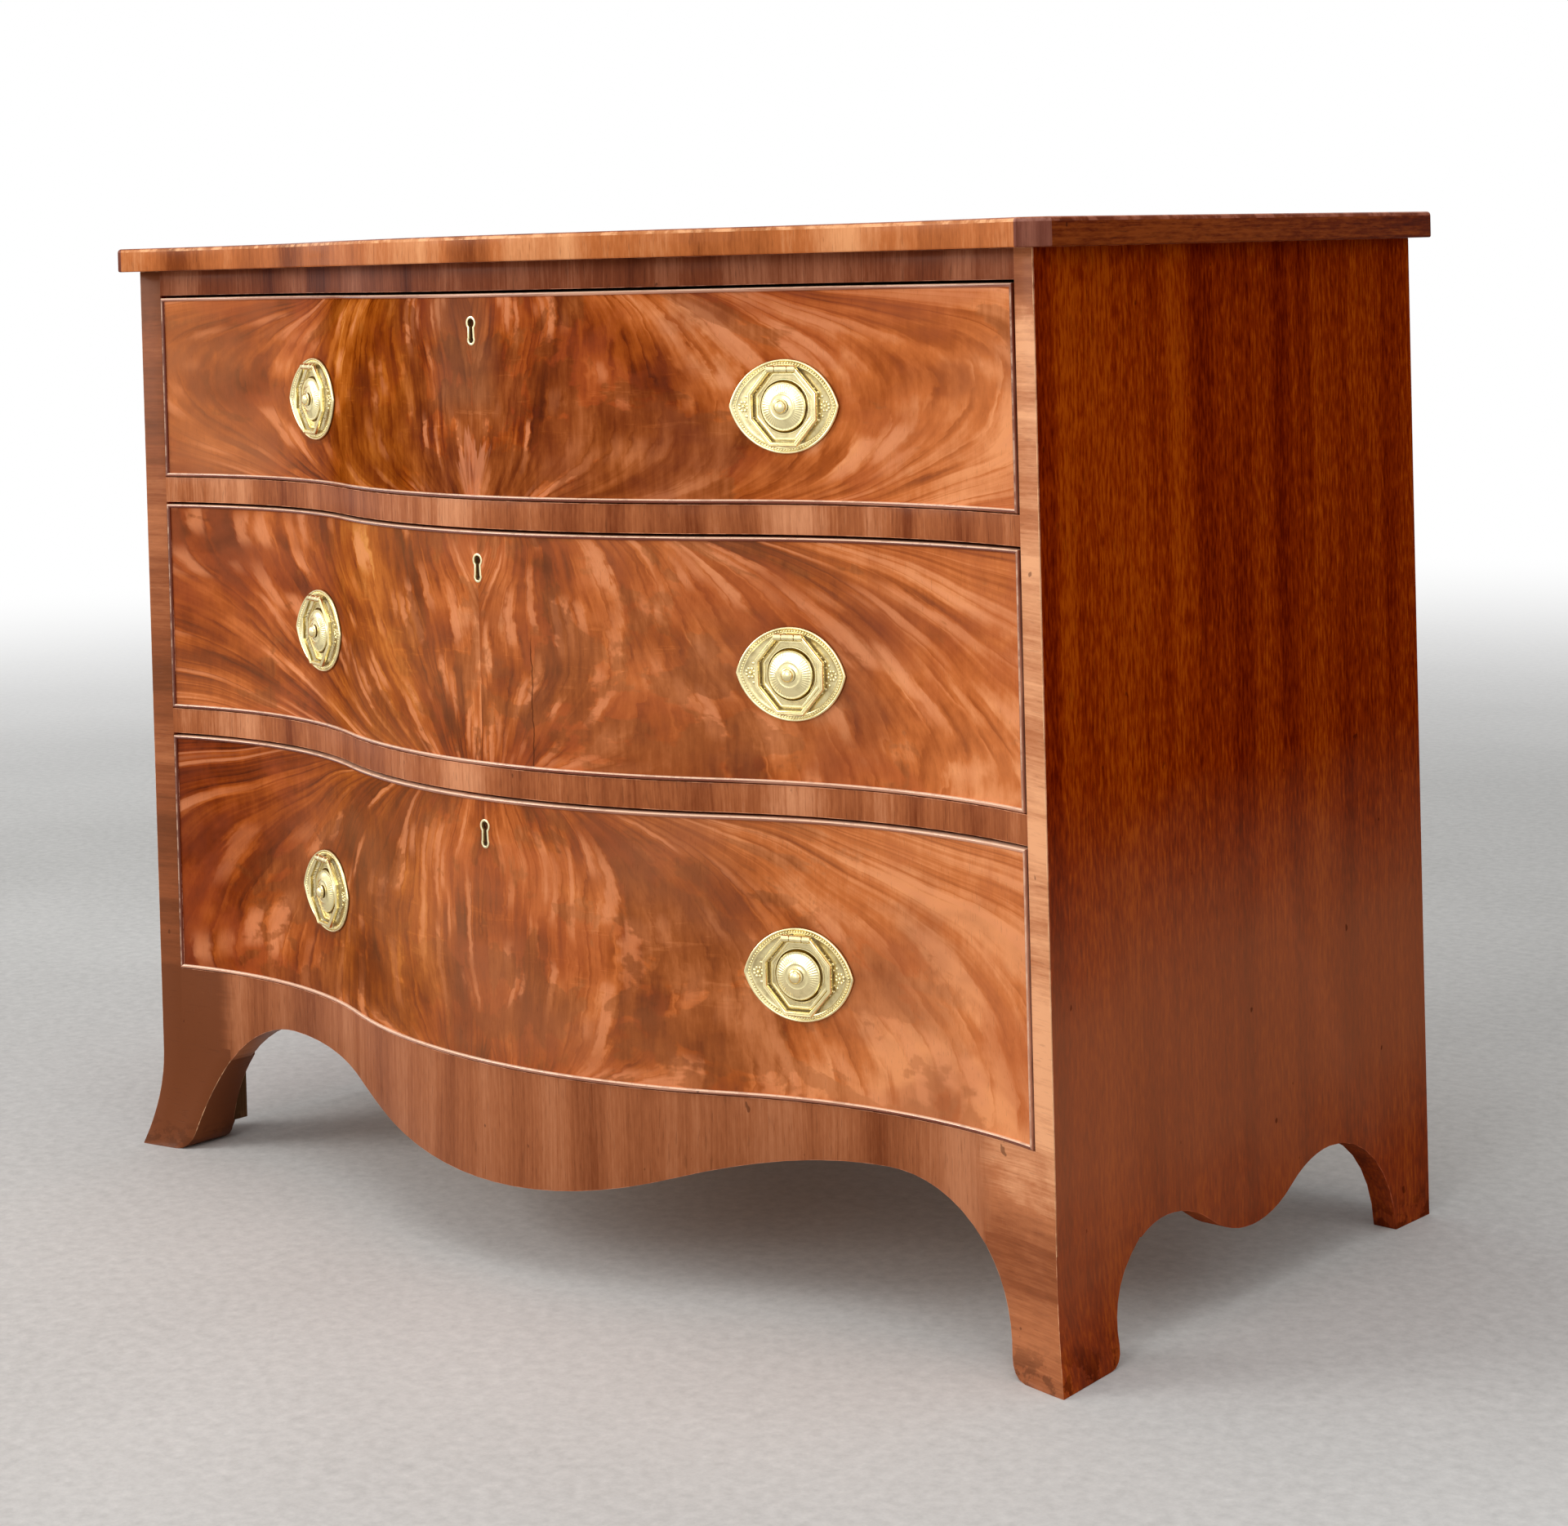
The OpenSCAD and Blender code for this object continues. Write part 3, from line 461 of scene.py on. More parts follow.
class Board:
    """A tree of shader nodes being wired."""

    def __init__(self, tree: Tree) -> None:
        """Takes the tree that the nodes go in."""
        self.tree = tree

    def add(self, kind: str, **settings: object) -> bpy.types.Node:
        """Adds a node.

        Args:
            kind: Its type.
            settings: Its properties.

        Returns:
            The node.
        """
        node = self.tree.nodes.new(kind)
        for key, value in settings.items():
            setattr(node, key, value)
        return node

    def feed(self, socket: bpy.types.NodeSocket, value: Value) -> None:
        """Links a wire to a socket, or sets a plain value or colour on it.

        Args:
            socket: The input.
            value: What it gets.
        """
        if isinstance(value, Wire):
            self.tree.links.new(value.socket, socket)
        else:
            socket.default_value = (*value, 1.0) if socket.type == "RGBA" else value

    def node(self, kind: str, inputs: dict[int | str, Value], output: int | str = 0,
             **settings: object) -> Wire:
        """Adds a node of which one output is used.

        Args:
            kind: Its type.
            inputs: What its inputs get, by number or name.
            output: The output's number or name.
            settings: Its properties.

        Returns:
            That output.
        """
        node = self.add(kind, **settings)
        for key, value in inputs.items():
            self.feed(node.inputs[key], value)
        return Wire(self, node.outputs[output])

    def math(self, how: str, *values: Value, clamp: bool = False) -> Wire:
        """Adds a Math node."""
        inputs = dict(enumerate(values))
        return self.node("ShaderNodeMath", inputs, operation=how, use_clamp=clamp)

    def vector(self, *parts: Value) -> Wire:
        """Makes a vector of three parts."""
        return self.node("ShaderNodeCombineXYZ", dict(enumerate(parts)))

    def split(self, vector: Wire) -> list[Wire]:
        """Takes a vector apart.

        Args:
            vector: The vector.

        Returns:
            Its three parts.
        """
        node = self.add("ShaderNodeSeparateXYZ")
        self.feed(node.inputs[0], vector)
        return [Wire(self, socket) for socket in node.outputs]

    def stretch(self, vector: Wire, scale: float | Point, shift: Point = (0, 0, 0)) -> Wire:
        """Scales a vector and then shifts it.

        Args:
            vector: The vector.
            scale: The factor, alike or by axis.
            shift: The shift.

        Returns:
            The new vector.
        """
        scale = scale if isinstance(scale, tuple) else (scale, scale, scale)
        inputs = {"Vector": vector, "Scale": scale, "Location": shift}
        return self.node("ShaderNodeMapping", inputs)

    def noise(self, place: Wire, scale: float | Point, detail: float = 4.0, rough: float = 0.6,
              warp: float = 0.0, shift: Point = (0, 0, 0)) -> Wire:
        """Adds a Noise texture.

        Args:
            place: Its coordinates.
            scale: How fine it is, alike or by axis.
            detail: Number of ever finer layers.
            rough: Strength of the finer layers.
            warp: How much it is distorted.
            shift: Where in the pattern it lies.

        Returns:
            Its value, mostly about a half.
        """
        inputs = {"Vector": self.stretch(place, scale, shift), "Scale": 1.0, "Detail": detail,
                  "Roughness": rough, "Distortion": warp}
        return self.node("ShaderNodeTexNoise", inputs, "Fac")

    def mix(self, share: Value, first: Value, second: Value) -> Wire:
        """Mixes two colours."""
        return self.node("ShaderNodeMix", {0: share, 6: first, 7: second}, 2, data_type="RGBA")

    def ramp(self, value: Wire, *stops: tuple[float, Colour]) -> Wire:
        """Turns a value into a colour.

        Args:
            value: The value.
            stops: Places and their colours.

        Returns:
            The colour.
        """
        node = self.add("ShaderNodeValToRGB")
        self.feed(node.inputs[0], value)
        elements = node.color_ramp.elements
        while len(elements) < len(stops):
            elements.new(0.5)
        for element, (place, colour) in zip(elements, stops):
            element.position = place
            element.color = (*colour, 1.0)
        return Wire(self, node.outputs[0])

    def use(self, effect: Callable[[], Tree], *values: Value) -> list[Wire]:
        """Places a shared effect, which is built once.

        Args:
            effect: The function that builds it, of the same name as its group.
            values: What its inputs get, in their order.

        Returns:
            Its outputs.
        """
        tree = bpy.data.node_groups.get(effect.__name__) or effect()
        node = self.add("ShaderNodeGroup", node_tree=tree)
        for socket, value in zip(node.inputs, values):
            self.feed(socket, value)
        return [Wire(self, socket) for socket in node.outputs]

    def seen(self) -> Wire:
        """Tells the rays that come from the camera, also by way of a gloss or glass.

        Returns:
            1 for such a ray, or else 0.
        """
        path = self.add("ShaderNodeLightPath").outputs
        camera, gloss, glass = (
            Wire(self, path[f"Is {name} Ray"]) for name in ("Camera", "Glossy", "Transmission"))
        return self.math("MAXIMUM", self.math("MAXIMUM", camera, gloss), glass)


class Effect(Board):
    """A shared group of nodes being wired."""

    def __init__(self, name: str, *inputs: str) -> None:
        """Opens the group.

        Args:
            name: Its name.
            inputs: Names of its inputs. The first is a vector, the others are values.
        """
        super().__init__(bpy.data.node_groups.new(name, "ShaderNodeTree"))
        for label in inputs:
            kind = "NodeSocketVector" if label == inputs[0] else "NodeSocketFloat"
            self.tree.interface.new_socket(label, in_out="INPUT", socket_type=kind)
        outputs = self.add("NodeGroupInput").outputs
        self.given = [Wire(self, outputs[label]) for label in inputs]

    def close(self, **results: Wire) -> Tree:
        """Gives the group its outputs.

        Args:
            results: The values that it puts out.

        Returns:
            The group.
        """
        for label in results:
            self.tree.interface.new_socket(
                label, in_out="OUTPUT", socket_type="NodeSocketFloat")
        end = self.add("NodeGroupOutput")
        for label, wire in results.items():
            self.feed(end.inputs[label], wire)
        return self.tree


class Surface(Board):
    """A material being wired, on Object coordinates."""

    def __init__(self, name: str) -> None:
        """Starts the material.

        Args:
            name: Its name.
        """
        self.material = bpy.data.materials.new(name)
        self.material.use_nodes = True
        super().__init__(self.material.node_tree)
        self.shader = self.tree.nodes["Principled BSDF"]
        self.place = self.node("ShaderNodeTexCoord", {}, "Object")

    def set(self, **values: Value) -> None:
        """Feeds the surface shader. An underscore in an input's name stands for a space."""
        for key, value in values.items():
            self.feed(self.shader.inputs[key.replace("_", " ")], value)

    def bump(self, height: Wire, depth: float, strength: float) -> None:
        """Raises the surface.

        Args:
            height: The pattern.
            depth: How much its full range is, in metres.
            strength: How much of that shows.
        """
        inputs = {"Height": height, "Distance": depth, "Strength": strength}
        self.set(Normal=self.node("ShaderNodeBump", inputs, "Normal"))


def wood_fibres() -> Tree:
    """Grain that runs along Z: fine fibres, broad bands and dark pores.

    Returns:
        The group.
    """
    board = Effect("wood_fibres", "Vector", "Seed", "Bands")
    place, seed, bands = board.given
    x, y, z = board.split(place)
    x = x + seed
    drift = board.noise(board.vector(x, y, z), (5, 5, 2.2), 2.0, 0.5)
    swayed = board.vector(x + drift * 0.035, y, z)
    fibre = board.noise(swayed, (520, 520, 9), 3.0, 0.65)
    wide = {"Vector": board.stretch(swayed, (34, 34, 1.1)), "Scale": bands}
    band = board.noise(board.node("ShaderNodeVectorMath", wide, operation="SCALE"), 1.0)
    pore = board.noise(swayed, (700, 700, 60), 2.0, 0.5).span(0.60, 0.72)
    return board.close(Fibre=fibre, Band=band, Pore=pore, Height=fibre * 0.25 - pore)


def old_polish() -> Tree:
    """French polish: how rough it is from place to place, and its faint waves.

    Returns:
        The group.
    """
    board = Effect("old_polish", "Vector", "Base", "Spread")
    place, base, spread = board.given
    both = board.noise(place, 7, 4.0, 0.55) * 0.7 + board.noise(place, 60, 3.0) * 0.3
    roughness = board.math("ADD", base, both.swing(spread), clamp=True)
    return board.close(Roughness=roughness, Wave=board.noise(place, 26, 2.0, 0.5))


def edge_wear() -> Tree:
    """Paler arrises, patchy and gone at the floor, partly wear and partly a painted highlight;
    dark knocks, and scuffs low on the feet.

    Returns:
        The group.
    """
    board = Effect("edge_wear", "Vector")
    (place,) = board.given
    height = board.split(place)[2]
    worn = board.node("ShaderNodeAttribute", {}, "Fac", attribute_name=WEAR_AND_HIGHLIGHT)
    patches = board.noise(place, 90).span(0.42, 0.62, 0.15, 0.85)
    dents = board.noise(place, (95, 95, 60), 2.0, 0.5, shift=(2.2, 0, 7.7))
    scuffs = board.noise(place, (60, 60, 90)).span(0.48, 0.56)
    scuffs = scuffs * height.span(4 * MM, 34 * MM, 0.55, 0.0)
    knock = board.math("MAXIMUM", dents.span(0.745, 0.78, 0.0, 0.6), scuffs)
    return board.close(Worn=worn * patches * height.span(5 * MM, 25 * MM), Knock=knock)


def flame_figure() -> Tree:
    """Crotch figure: strokes that leave the middle, swing out and come back.

    The Pull inputs say how strongly the strokes gather at the top and the bottom of the middle
    line, on each side and in the core. The Quiet inputs say how much of the lower part is plain
    rippled ground, and how far from the middle.

    Returns:
        The group.
    """
    board = Effect("flame_figure", "Vector", "Mid", "Half", "Left Top Pull", "Left Bottom Pull",
                   "Right Top Pull", "Right Bottom Pull", "Core Pull", "Left Quiet",
                   "Right Quiet", "Quiet Place", "Seed")
    (place, mid, half, left_top, left_low, right_top, right_low, core_pull, left_quiet,
     right_quiet, quiet_place, seed) = board.given
    x0, _, z0 = board.split(place)
    right = board.math("GREATER_THAN", x0, 0.0)

    def either(left: Wire, other: Wire) -> Wire:
        """The left or the right half's value."""
        return right * (other - left) + left

    # The two halves match in their broad lines, and differ in detail.
    leaf, own_leaf = right * 0.10 + seed, right * 0.22 + seed
    flat, own_flat = board.vector(abs(x0), leaf, z0), board.vector(abs(x0), own_leaf, z0)
    x = abs(x0) + board.noise(flat, (4, 1, 6), 1.5, 0.4).swing(0.12)
    z = z0 + board.noise(flat, (4, 1, 6), 1.5, 0.4, shift=(3.7, 0, 1.9)).swing(0.05)
    u = abs(x) / VENEER_HALF_W
    v = board.math("MAXIMUM", (z - mid) / half * 0.86, -1.04)
    v = board.math("MINIMUM", v, 1.04)
    low_pull = either(left_low, right_low)
    low_pull = u.span(0.12, 0.45, 1.0, 0.0) * (core_pull - low_pull) + low_pull
    spread = (1.08 - v) ** either(left_top, right_top) * (v + 1.08) ** low_pull
    across = board.math("LOGARITHM", u / spread * 3.0 + 1.0, 4.0)
    along = u * 0.3 + v

    def streaks(width: float, length: float, shift: float, detail: float, rough: float,
                warp: float = 0.0, line: Wire = across) -> Wire:
        """A noise drawn out along the strokes.

        Args:
            width: How fine it is across them.
            length: How fine it is along them.
            shift: Which pattern it is.
            detail: Number of ever finer layers.
            rough: Strength of the finer layers.
            warp: How much it is distorted.
            line: What counts the strokes across.

        Returns:
            Its value.
        """
        spot = board.vector(line * width, along * length, own_leaf + shift)
        return board.noise(spot, 1.0, detail, rough, warp)

    # Plain ground in patches
    quiet = either(left_quiet, right_quiet) * v.span(-0.35, 0.35, 1.0, 0.0)
    quiet = quiet * abs(u - quiet_place).span(0.05, 0.38, 1.0, 0.0)
    blot = board.noise(own_flat, (11, 1, 16), 6.0, 0.6, 0.7, (0.7, 0, 8.3))
    level = (streaks(9.0, 2.6, 9.0, 4.0, 0.6, 0.4) + blot) * 0.5 + quiet * 0.12
    ground = (level + u.span(0.3, 0.8, 0.0, -0.07)).span(0.515, 0.55)
    lively = ground * -0.45 + 1.0

    # Numbered strokes, each with a tone, a dark edge and perhaps a pale body
    ragged = board.noise(own_flat, (80, 1, 130), 2.0, 0.5)
    phase = across * 30.0 + streaks(4.0, 0.6, 1.0, 1.5, 0.4).swing(5.5)
    phase = phase + ragged.swing(u.span(0.3, 0.8, 0.6, 0.15))
    phase = phase + streaks(55.0, 3.5, 8.0, 3.0, 0.6).swing(0.9)
    part, index = board.math("FRACT", phase), board.math("FLOOR", phase)
    own = streaks(0.731, 1.9, 3.0, 1.0, 0.5, line=index)
    beyond = streaks(0.731, 1.9, 3.0, 1.0, 0.5, line=index + 1.0)
    own = part.span(0.72, 1.0) * (beyond - own) + own
    shown = streaks(0.617, 2.6, 6.0, 1.0, 0.5, line=index).span(0.40, 0.60)
    edge = part.span(0.0, 0.08) * part.span(0.08, 0.46, 1.0, 0.0) * shown
    pale = part.span(0.05, 0.30) * part.span(0.55, 0.98, 1.0, 0.0) * own.span(0.53, 0.66)

    tone = streaks(6.0, 0.8, 0.0, 2.0, 0.5, 0.3).swing(0.62) + 0.5
    tone = tone + own.swing(lively * 0.68) + edge * (lively * -0.11)
    tone = tone + streaks(70.0, 1.6, 5.0, 3.0, 0.6).swing(lively * 0.28)
    cross = board.noise(own_flat, (24, 1, 200), shift=(4.4, 0, 3.1)).span(0.60, 0.66)
    cross = cross * abs(v).span(0.15, 0.5, 1.0, 0.0) * u.span(0.35, 0.75, 1.0, 0.0)
    tone = cross * 0.055 + tone
    tone = tone + board.noise(flat, (210, 1, 26)).swing(ground * 0.16 + 0.10)
    tone = tone + board.noise(own_flat, (60, 1, 60), shift=(2.2, 0, 0.4)).swing(0.22)
    cloud = board.noise(flat, (8, 1, 12), 4.0, 0.55, 0.8, (5.1, 0, 2.2))
    fleck = board.noise(board.vector(x0 * 900.0, seed, z0 * 150.0), 1.0, 2.0, 0.5)
    return board.close(Tone=tone, Red=cloud.span(0.45, 0.62), Ground=ground,
                       Pore=fleck.span(0.60, 0.72), Pale=pale * (ground * -0.7 + 1.0))


@dataclass(frozen=True)
class Timber:
    """A solid wood or straight-grained veneer.

    Attributes:
        name: The material's name.
        grain: Which way the fibres run.
        dark: Colour of the dark bands.
        mid: The main colour.
        light: Colour of the pale bands.
        roughness: How rough it is.
        coat: Weight of the clear polish.
        seed: Moves the pattern.
        pore: How dark the pores are.
        ends: Another veneer at the left and right ends.
        ends_x: Distance from the middle past which it starts.
        ends_blur: Half of the seam's soft width.
        ends_wave: How far the seam wanders.
        on_front: Whether the veneer is bent round the front's curve.
        gloss: Level of the surface's own reflection.
        tint: Colour of that reflection.
        haze: Height under which a painted pale grey sheen lies on the wood, or 0.
        band: How many bands a metre holds, against a plain board's.
        mottle: Strength of short dashes along the grain.
        lean: How much paler the right end is painted than the left, over a metre, as painted
            light.
        lean_from: Where that painted light has no effect yet.
        grime: How much darker the wood is made close to the floor, and how much painted shade
            lies under the top.
        fibre: Share of the fine fibres in the pattern.
        boards: Height of the lowest board's bottom, and of one board, where several lie on edge.
    """

    name: str
    grain: Grain
    dark: Colour
    mid: Colour
    light: Colour
    roughness: float = 0.35
    coat: float = 0.0
    seed: float = 0.0
    pore: float = 0.5
    ends: Timber | None = None
    ends_x: float = 427 * MM
    ends_blur: float = 12 * MM
    ends_wave: float = 26 * MM
    on_front: bool = False
    gloss: float = 0.1
    tint: Colour = SHELLAC
    haze: float = 0.0
    band: float = 1.0
    mottle: float = 0.0
    lean: float = 0.0
    lean_from: float = 0.0
    grime: float = 0.0
    fibre: float = 0.32
    boards: tuple[float, float] | None = None

    def colours(self, board: Surface) -> tuple[Wire, Wire]:
        """Wires the wood itself.

        Args:
            board: The material, which may be another timber's.

        Returns:
            Its colour before wear, and the height of its fibres.
        """
        x, y, z = board.split(board.place)
        axes = {"x": x, "y": y * 0.02 if self.on_front else y, "z": z}
        along, across, up = (axes[name] for name in self.grain.value)
        vector = board.vector(along, across, up)
        if self.boards:
            bottom, height = self.boards
            number = board.math("FLOOR", (z - bottom) / height)
            vector = board.vector(number * 1.7 + along, across, number * 0.9 + up)
        fibre, band, pore, rise = board.use(wood_fibres, vector, self.seed, self.band)
        tone = band * (1.0 - self.fibre) + fibre * self.fibre
        if self.mottle:
            dashes = board.noise(vector, (360, 360, 75), 3.0, shift=(self.seed, 0, 0))
            tone = tone + dashes.swing(self.mottle)
        if self.boards:
            own = board.noise(board.vector(number * 4.3, 0.7, 0.0), 1.0, 1.0, 0.5)
            tone = tone + own.swing(0.35)
        # Painted light: the right end paler than the left.
        if self.lean:
            tone = tone + (x - self.lean_from) * self.lean
        # Darker close to the floor, and painted shade under the top's overhang.
        if self.grime:
            level = z + board.noise(board.place, 40).swing(0.06)
            tone = tone + level.span(75 * MM, 185 * MM, -1.8 * self.grime, 0.0)
            tone = tone + level.span(715 * MM, 755 * MM, 0.0, -self.grime)
        colour = board.ramp(tone, (0.24, shaded(self.dark, 0.62)), (0.36, self.dark),
                            (0.50, self.mid), (0.64, self.light))
        return board.mix(pore * self.pore, colour, shaded(self.dark, 0.28)), rise

    def build(self) -> Material:
        """Makes the material.

        Returns:
            The material.
        """
        board = Surface(self.name)
        place = board.place
        x, _, z = board.split(place)
        colour, rise = self.colours(board)
        if self.ends:
            reach = abs(x) + board.noise(place, (0, 0, 60), 3.0).swing(self.ends_wave)
            past = reach.span(self.ends_x - self.ends_blur, self.ends_x + self.ends_blur)
            colour = board.mix(past, colour, self.ends.colours(board)[0])
        # Painted sheen: the lower part of the wood paler and greyer.
        if self.haze:
            level = z + board.noise(place, (3, 3, 6)).swing(0.16)
            low_sheen = level.span(self.haze - 140 * MM, self.haze + 90 * MM, 0.6, 0.0)
            low_sheen = low_sheen * level.span(30 * MM, 150 * MM, 0.3, 1.0)
            colour = board.mix(low_sheen, colour, screen(164, 98, 66))
        worn, knock = board.use(edge_wear, place)
        colour = board.mix(knock, colour, shaded(self.dark, 0.3))
        # Paler arrises: partly wear of the polish, partly a painted highlight.
        colour = board.mix(worn, colour, shaded(self.light, 1.35, 0.06))
        roughness, wave = board.use(old_polish, place, self.roughness, 0.16)
        board.set(Base_Color=colour, Roughness=roughness, Coat_Weight=self.coat,
                  Coat_Roughness=COAT_ROUGHNESS, Specular_IOR_Level=self.gloss,
                  Specular_Tint=self.tint)
        board.bump(wave * 2.0 + rise, 0.12 * MM, 0.5)
        return board.material


@dataclass(frozen=True)
class FlameVeneer:
    """Bookmatched crotch veneer on one drawer.

    Attributes:
        drawer: The drawer.
        pulls: How strongly strokes gather at left top, left bottom, right top, right bottom.
        core: How strongly they gather at the bottom of the core.
        quiet: How plain the lower part is on the left and right, and its place from 0 to 1.
        seed: Moves the pattern.
        haze: How strong a painted pale sheen is on the left end, the middle and the right end.
        lean: How much paler the right end is painted than the left, over a metre, as painted
            light.
        crack: Where a fine crack runs up from the bottom, or 0.
        plume: Whether a pale plume stands at the bottom of the middle.
        gold_x: Middle of a zone of painted yellow reflection.
        gold_w: Where that zone starts to end and has ended, on both sides.
        gold: How strong that painted reflection is.
        roughness: How rough the veneer is.
    """

    drawer: Drawer
    pulls: tuple[float, float, float, float]
    core: float
    quiet: tuple[float, float, float]
    seed: float
    haze: tuple[float, float, float]
    lean: float = 0.12
    crack: float = 0.0
    plume: bool = False
    gold_x: float = -165 * MM
    gold_w: tuple[float, float] = (50 * MM, 140 * MM)
    gold: float = 0.58
    roughness: float = 0.34

    def add_crack(self, board: Surface, colour: Wire, mid: float) -> Wire:
        """Draws a fine crack up to the middle.

        Args:
            board: The material.
            colour: Its colour.
            mid: Height of the veneer's middle.

        Returns:
            The colour with the crack.
        """
        x, _, z = board.split(board.place)
        wander = board.noise(board.place, (0, 0, 22), 4.0, 0.55)
        off = abs(wander.swing(0.014) + x - self.crack)
        thin = off.span(0.2 * MM, 0.9 * MM, 0.8, 0.0)
        share = thin * z.span(mid - 5 * MM, mid + 20 * MM, 1.0, 0.0)
        return board.mix(share, colour, screen(72, 30, 10))

    def add_plume(self, board: Surface, colour: Wire, bottom: float) -> Wire:
        """Draws a torn pale plume, and over it a greyed upright band that is a painted sheen.

        Args:
            board: The material.
            colour: Its colour.
            bottom: Height of the veneer's lower edge.

        Returns:
            The colour with the plume.
        """
        x, _, z = board.split(board.place)
        height = z - bottom
        fan = (x + 4 * MM) / (height + 22 * MM)
        torn = board.noise(board.vector(fan * 9.0, height * 20.0, 2.4), 1.0, 3.0, 0.55)
        reach = torn.swing(100 * MM) + 52 * MM - abs(fan) * (62 * MM)
        inside = (reach - height).span(0.0, 7 * MM) * abs(fan).span(0.30, 0.42, 1.0, 0.0)
        strands = board.noise(board.vector(fan * 15.0, height * 26.0, 5.1), 1.0, 3.0)
        inside = inside * strands.span(0.34, 0.56, 0.35, 1.0)
        colour = board.mix(inside * 0.6, colour, screen(214, 134, 94))
        # Painted sheen: a greyed upright band over the plume.
        sheen_column = abs(x + 12 * MM).span(18 * MM, 48 * MM, 0.42, 0.0)
        sheen_column = sheen_column * height.span(55 * MM, 80 * MM)
        return board.mix(sheen_column, colour, screen(126, 84, 58))

    def build(self) -> Material:
        """Makes the material.

        Returns:
            The material.
        """
        low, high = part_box(f"{self.drawer.value}_drawer_veneer")
        mid, half = (low.z + high.z) / 2, (high.z - low.z) / 2
        board = Surface(f"{self.drawer.value}_flame")
        place = board.place
        tone, red, ground, pore, pale = board.use(
            flame_figure, place, mid, half, *self.pulls, self.core, *self.quiet, self.seed)
        x = board.split(place)[0]
        # Painted light: the right end paler than the left, and more so from 0.15 m to the right.
        tone = tone + x * self.lean + x.span(0.15, 0.45, 0.0, 0.09)
        flame = board.ramp(tone, (0.24, screen(80, 26, 1)), (0.38, screen(122, 46, 3)),
                           (0.50, screen(160, 74, 18)), (0.62, screen(196, 104, 46)),
                           (0.78, screen(234, 152, 98)))
        flame = board.mix(red * 0.4, flame, screen(168, 76, 38))
        calm = board.ramp(tone, (0.28, screen(70, 24, 0)), (0.42, screen(108, 47, 10)),
                          (0.54, screen(140, 72, 28)), (0.70, screen(184, 108, 62)))
        colour = board.mix(ground * 0.68, flame, calm)
        stain = board.noise(place, (6, 0, 9), shift=(self.seed + 9.0, 0, 0))
        colour = board.mix(stain.span(0.48, 0.66, 0.0, 0.45), colour, screen(116, 52, 32))
        # Painted reflection: a yellower zone left of the middle.
        off_reflection = abs(x - self.gold_x).span(*self.gold_w)
        reflected_yellow = board.ramp(tone, (0.24, screen(76, 26, 0)), (0.38, screen(112, 44, 0)),
                            (0.50, screen(146, 70, 4)), (0.62, screen(184, 102, 20)),
                            (0.78, screen(224, 150, 64)))
        colour = board.mix(off_reflection * -self.gold + self.gold, colour, reflected_yellow)
        colour = board.mix(pale * 0.52, colour, screen(228, 146, 100))
        # Painted sheen: paler patches at the two ends and in the middle.
        left, middle, right = self.haze
        sheen_share = x.span(-0.44, -0.20, left - middle, 0.0) + x.span(0.18, 0.45, middle, right)
        cloud = board.noise(place, (5, 0, 9), 3.0, 0.5, shift=(self.seed, 0, 0))
        sheen_share = board.math("MULTIPLY", sheen_share, cloud.span(0.3, 0.7, 0.5, 1.5), clamp=True)
        colour = board.mix(sheen_share, colour, screen(222, 148, 98))
        if self.crack:
            colour = self.add_crack(board, colour, mid)
        if self.plume:
            colour = self.add_plume(board, colour, low.z)
        colour = board.mix(pore * 0.14, colour, screen(70, 26, 8))
        roughness, wave = board.use(old_polish, place, self.roughness, 0.14)
        board.set(Base_Color=colour, Roughness=roughness, Coat_Weight=off_reflection * 0.10 + 0.01,
                  Coat_Roughness=COAT_ROUGHNESS, Specular_IOR_Level=0.0,
                  Specular_Tint=SHELLAC)
        board.bump(wave * 2.2 + tone * 0.5, 0.15 * MM, 0.5)
        return board.material


VENEERS = {
    Drawer.TOP: FlameVeneer(Drawer.TOP, (0.34, 0.40, 0.34, 0.36), 0.50, (0.6, 0.6, 0.30), 3.1,
                            (0.27, 0.0, 0.14), plume=True),
    Drawer.MIDDLE: FlameVeneer(Drawer.MIDDLE, (0.05, 0.46, 0.40, 0.05), 0.30, (0.1, 0.8, 0.50),
                               8.8, (0.12, 0.12, 0.16), crack=54.5 * MM),
    Drawer.BOTTOM: FlameVeneer(Drawer.BOTTOM, (0.46, 0.10, 0.46, 0.10), 0.55, (0.9, 0.9, 0.68),
                               14.5, (0.0, 0.16, 0.22), lean=0.26)}


@dataclass(frozen=True)
class Metal:
    """Brass or iron, darker in its hollows.

    Attributes:
        name: The material's name.
        bright: Colour of the rubbed metal.
        tarnish: Colour of the hollows.
        roughness: How rough it is.
        relief: Whether the mesh carries a relief value.
    """

    name: str
    bright: Colour
    tarnish: Colour
    roughness: float
    relief: bool = False

    def build(self) -> Material:
        """Makes the material.

        Returns:
            The material.
        """
        board = Surface(self.name)
        place = board.place
        share = board.noise(place, 150).span(0.40, 0.75) * 0.28
        grit = board.noise(place, 900, 3.0)
        if self.relief:
            depth = board.node("ShaderNodeAttribute", {}, "Fac", attribute_name=RELIEF)
            hollow = board.math("SUBTRACT", 1.0, depth, clamp=True) ** 1.7
            share = board.math("MULTIPLY_ADD", hollow, 1.1, share, clamp=True)
            grit = board.noise(place, 420, 2.0, 0.5) * ((1.0 - depth) * 3.5) + grit
        board.set(Base_Color=board.mix(share, self.bright, self.tarnish), Metallic=1.0,
                  Roughness=share * 0.25 + self.roughness)
        board.bump(grit, 0.06 * MM, 0.6)
        return board.material


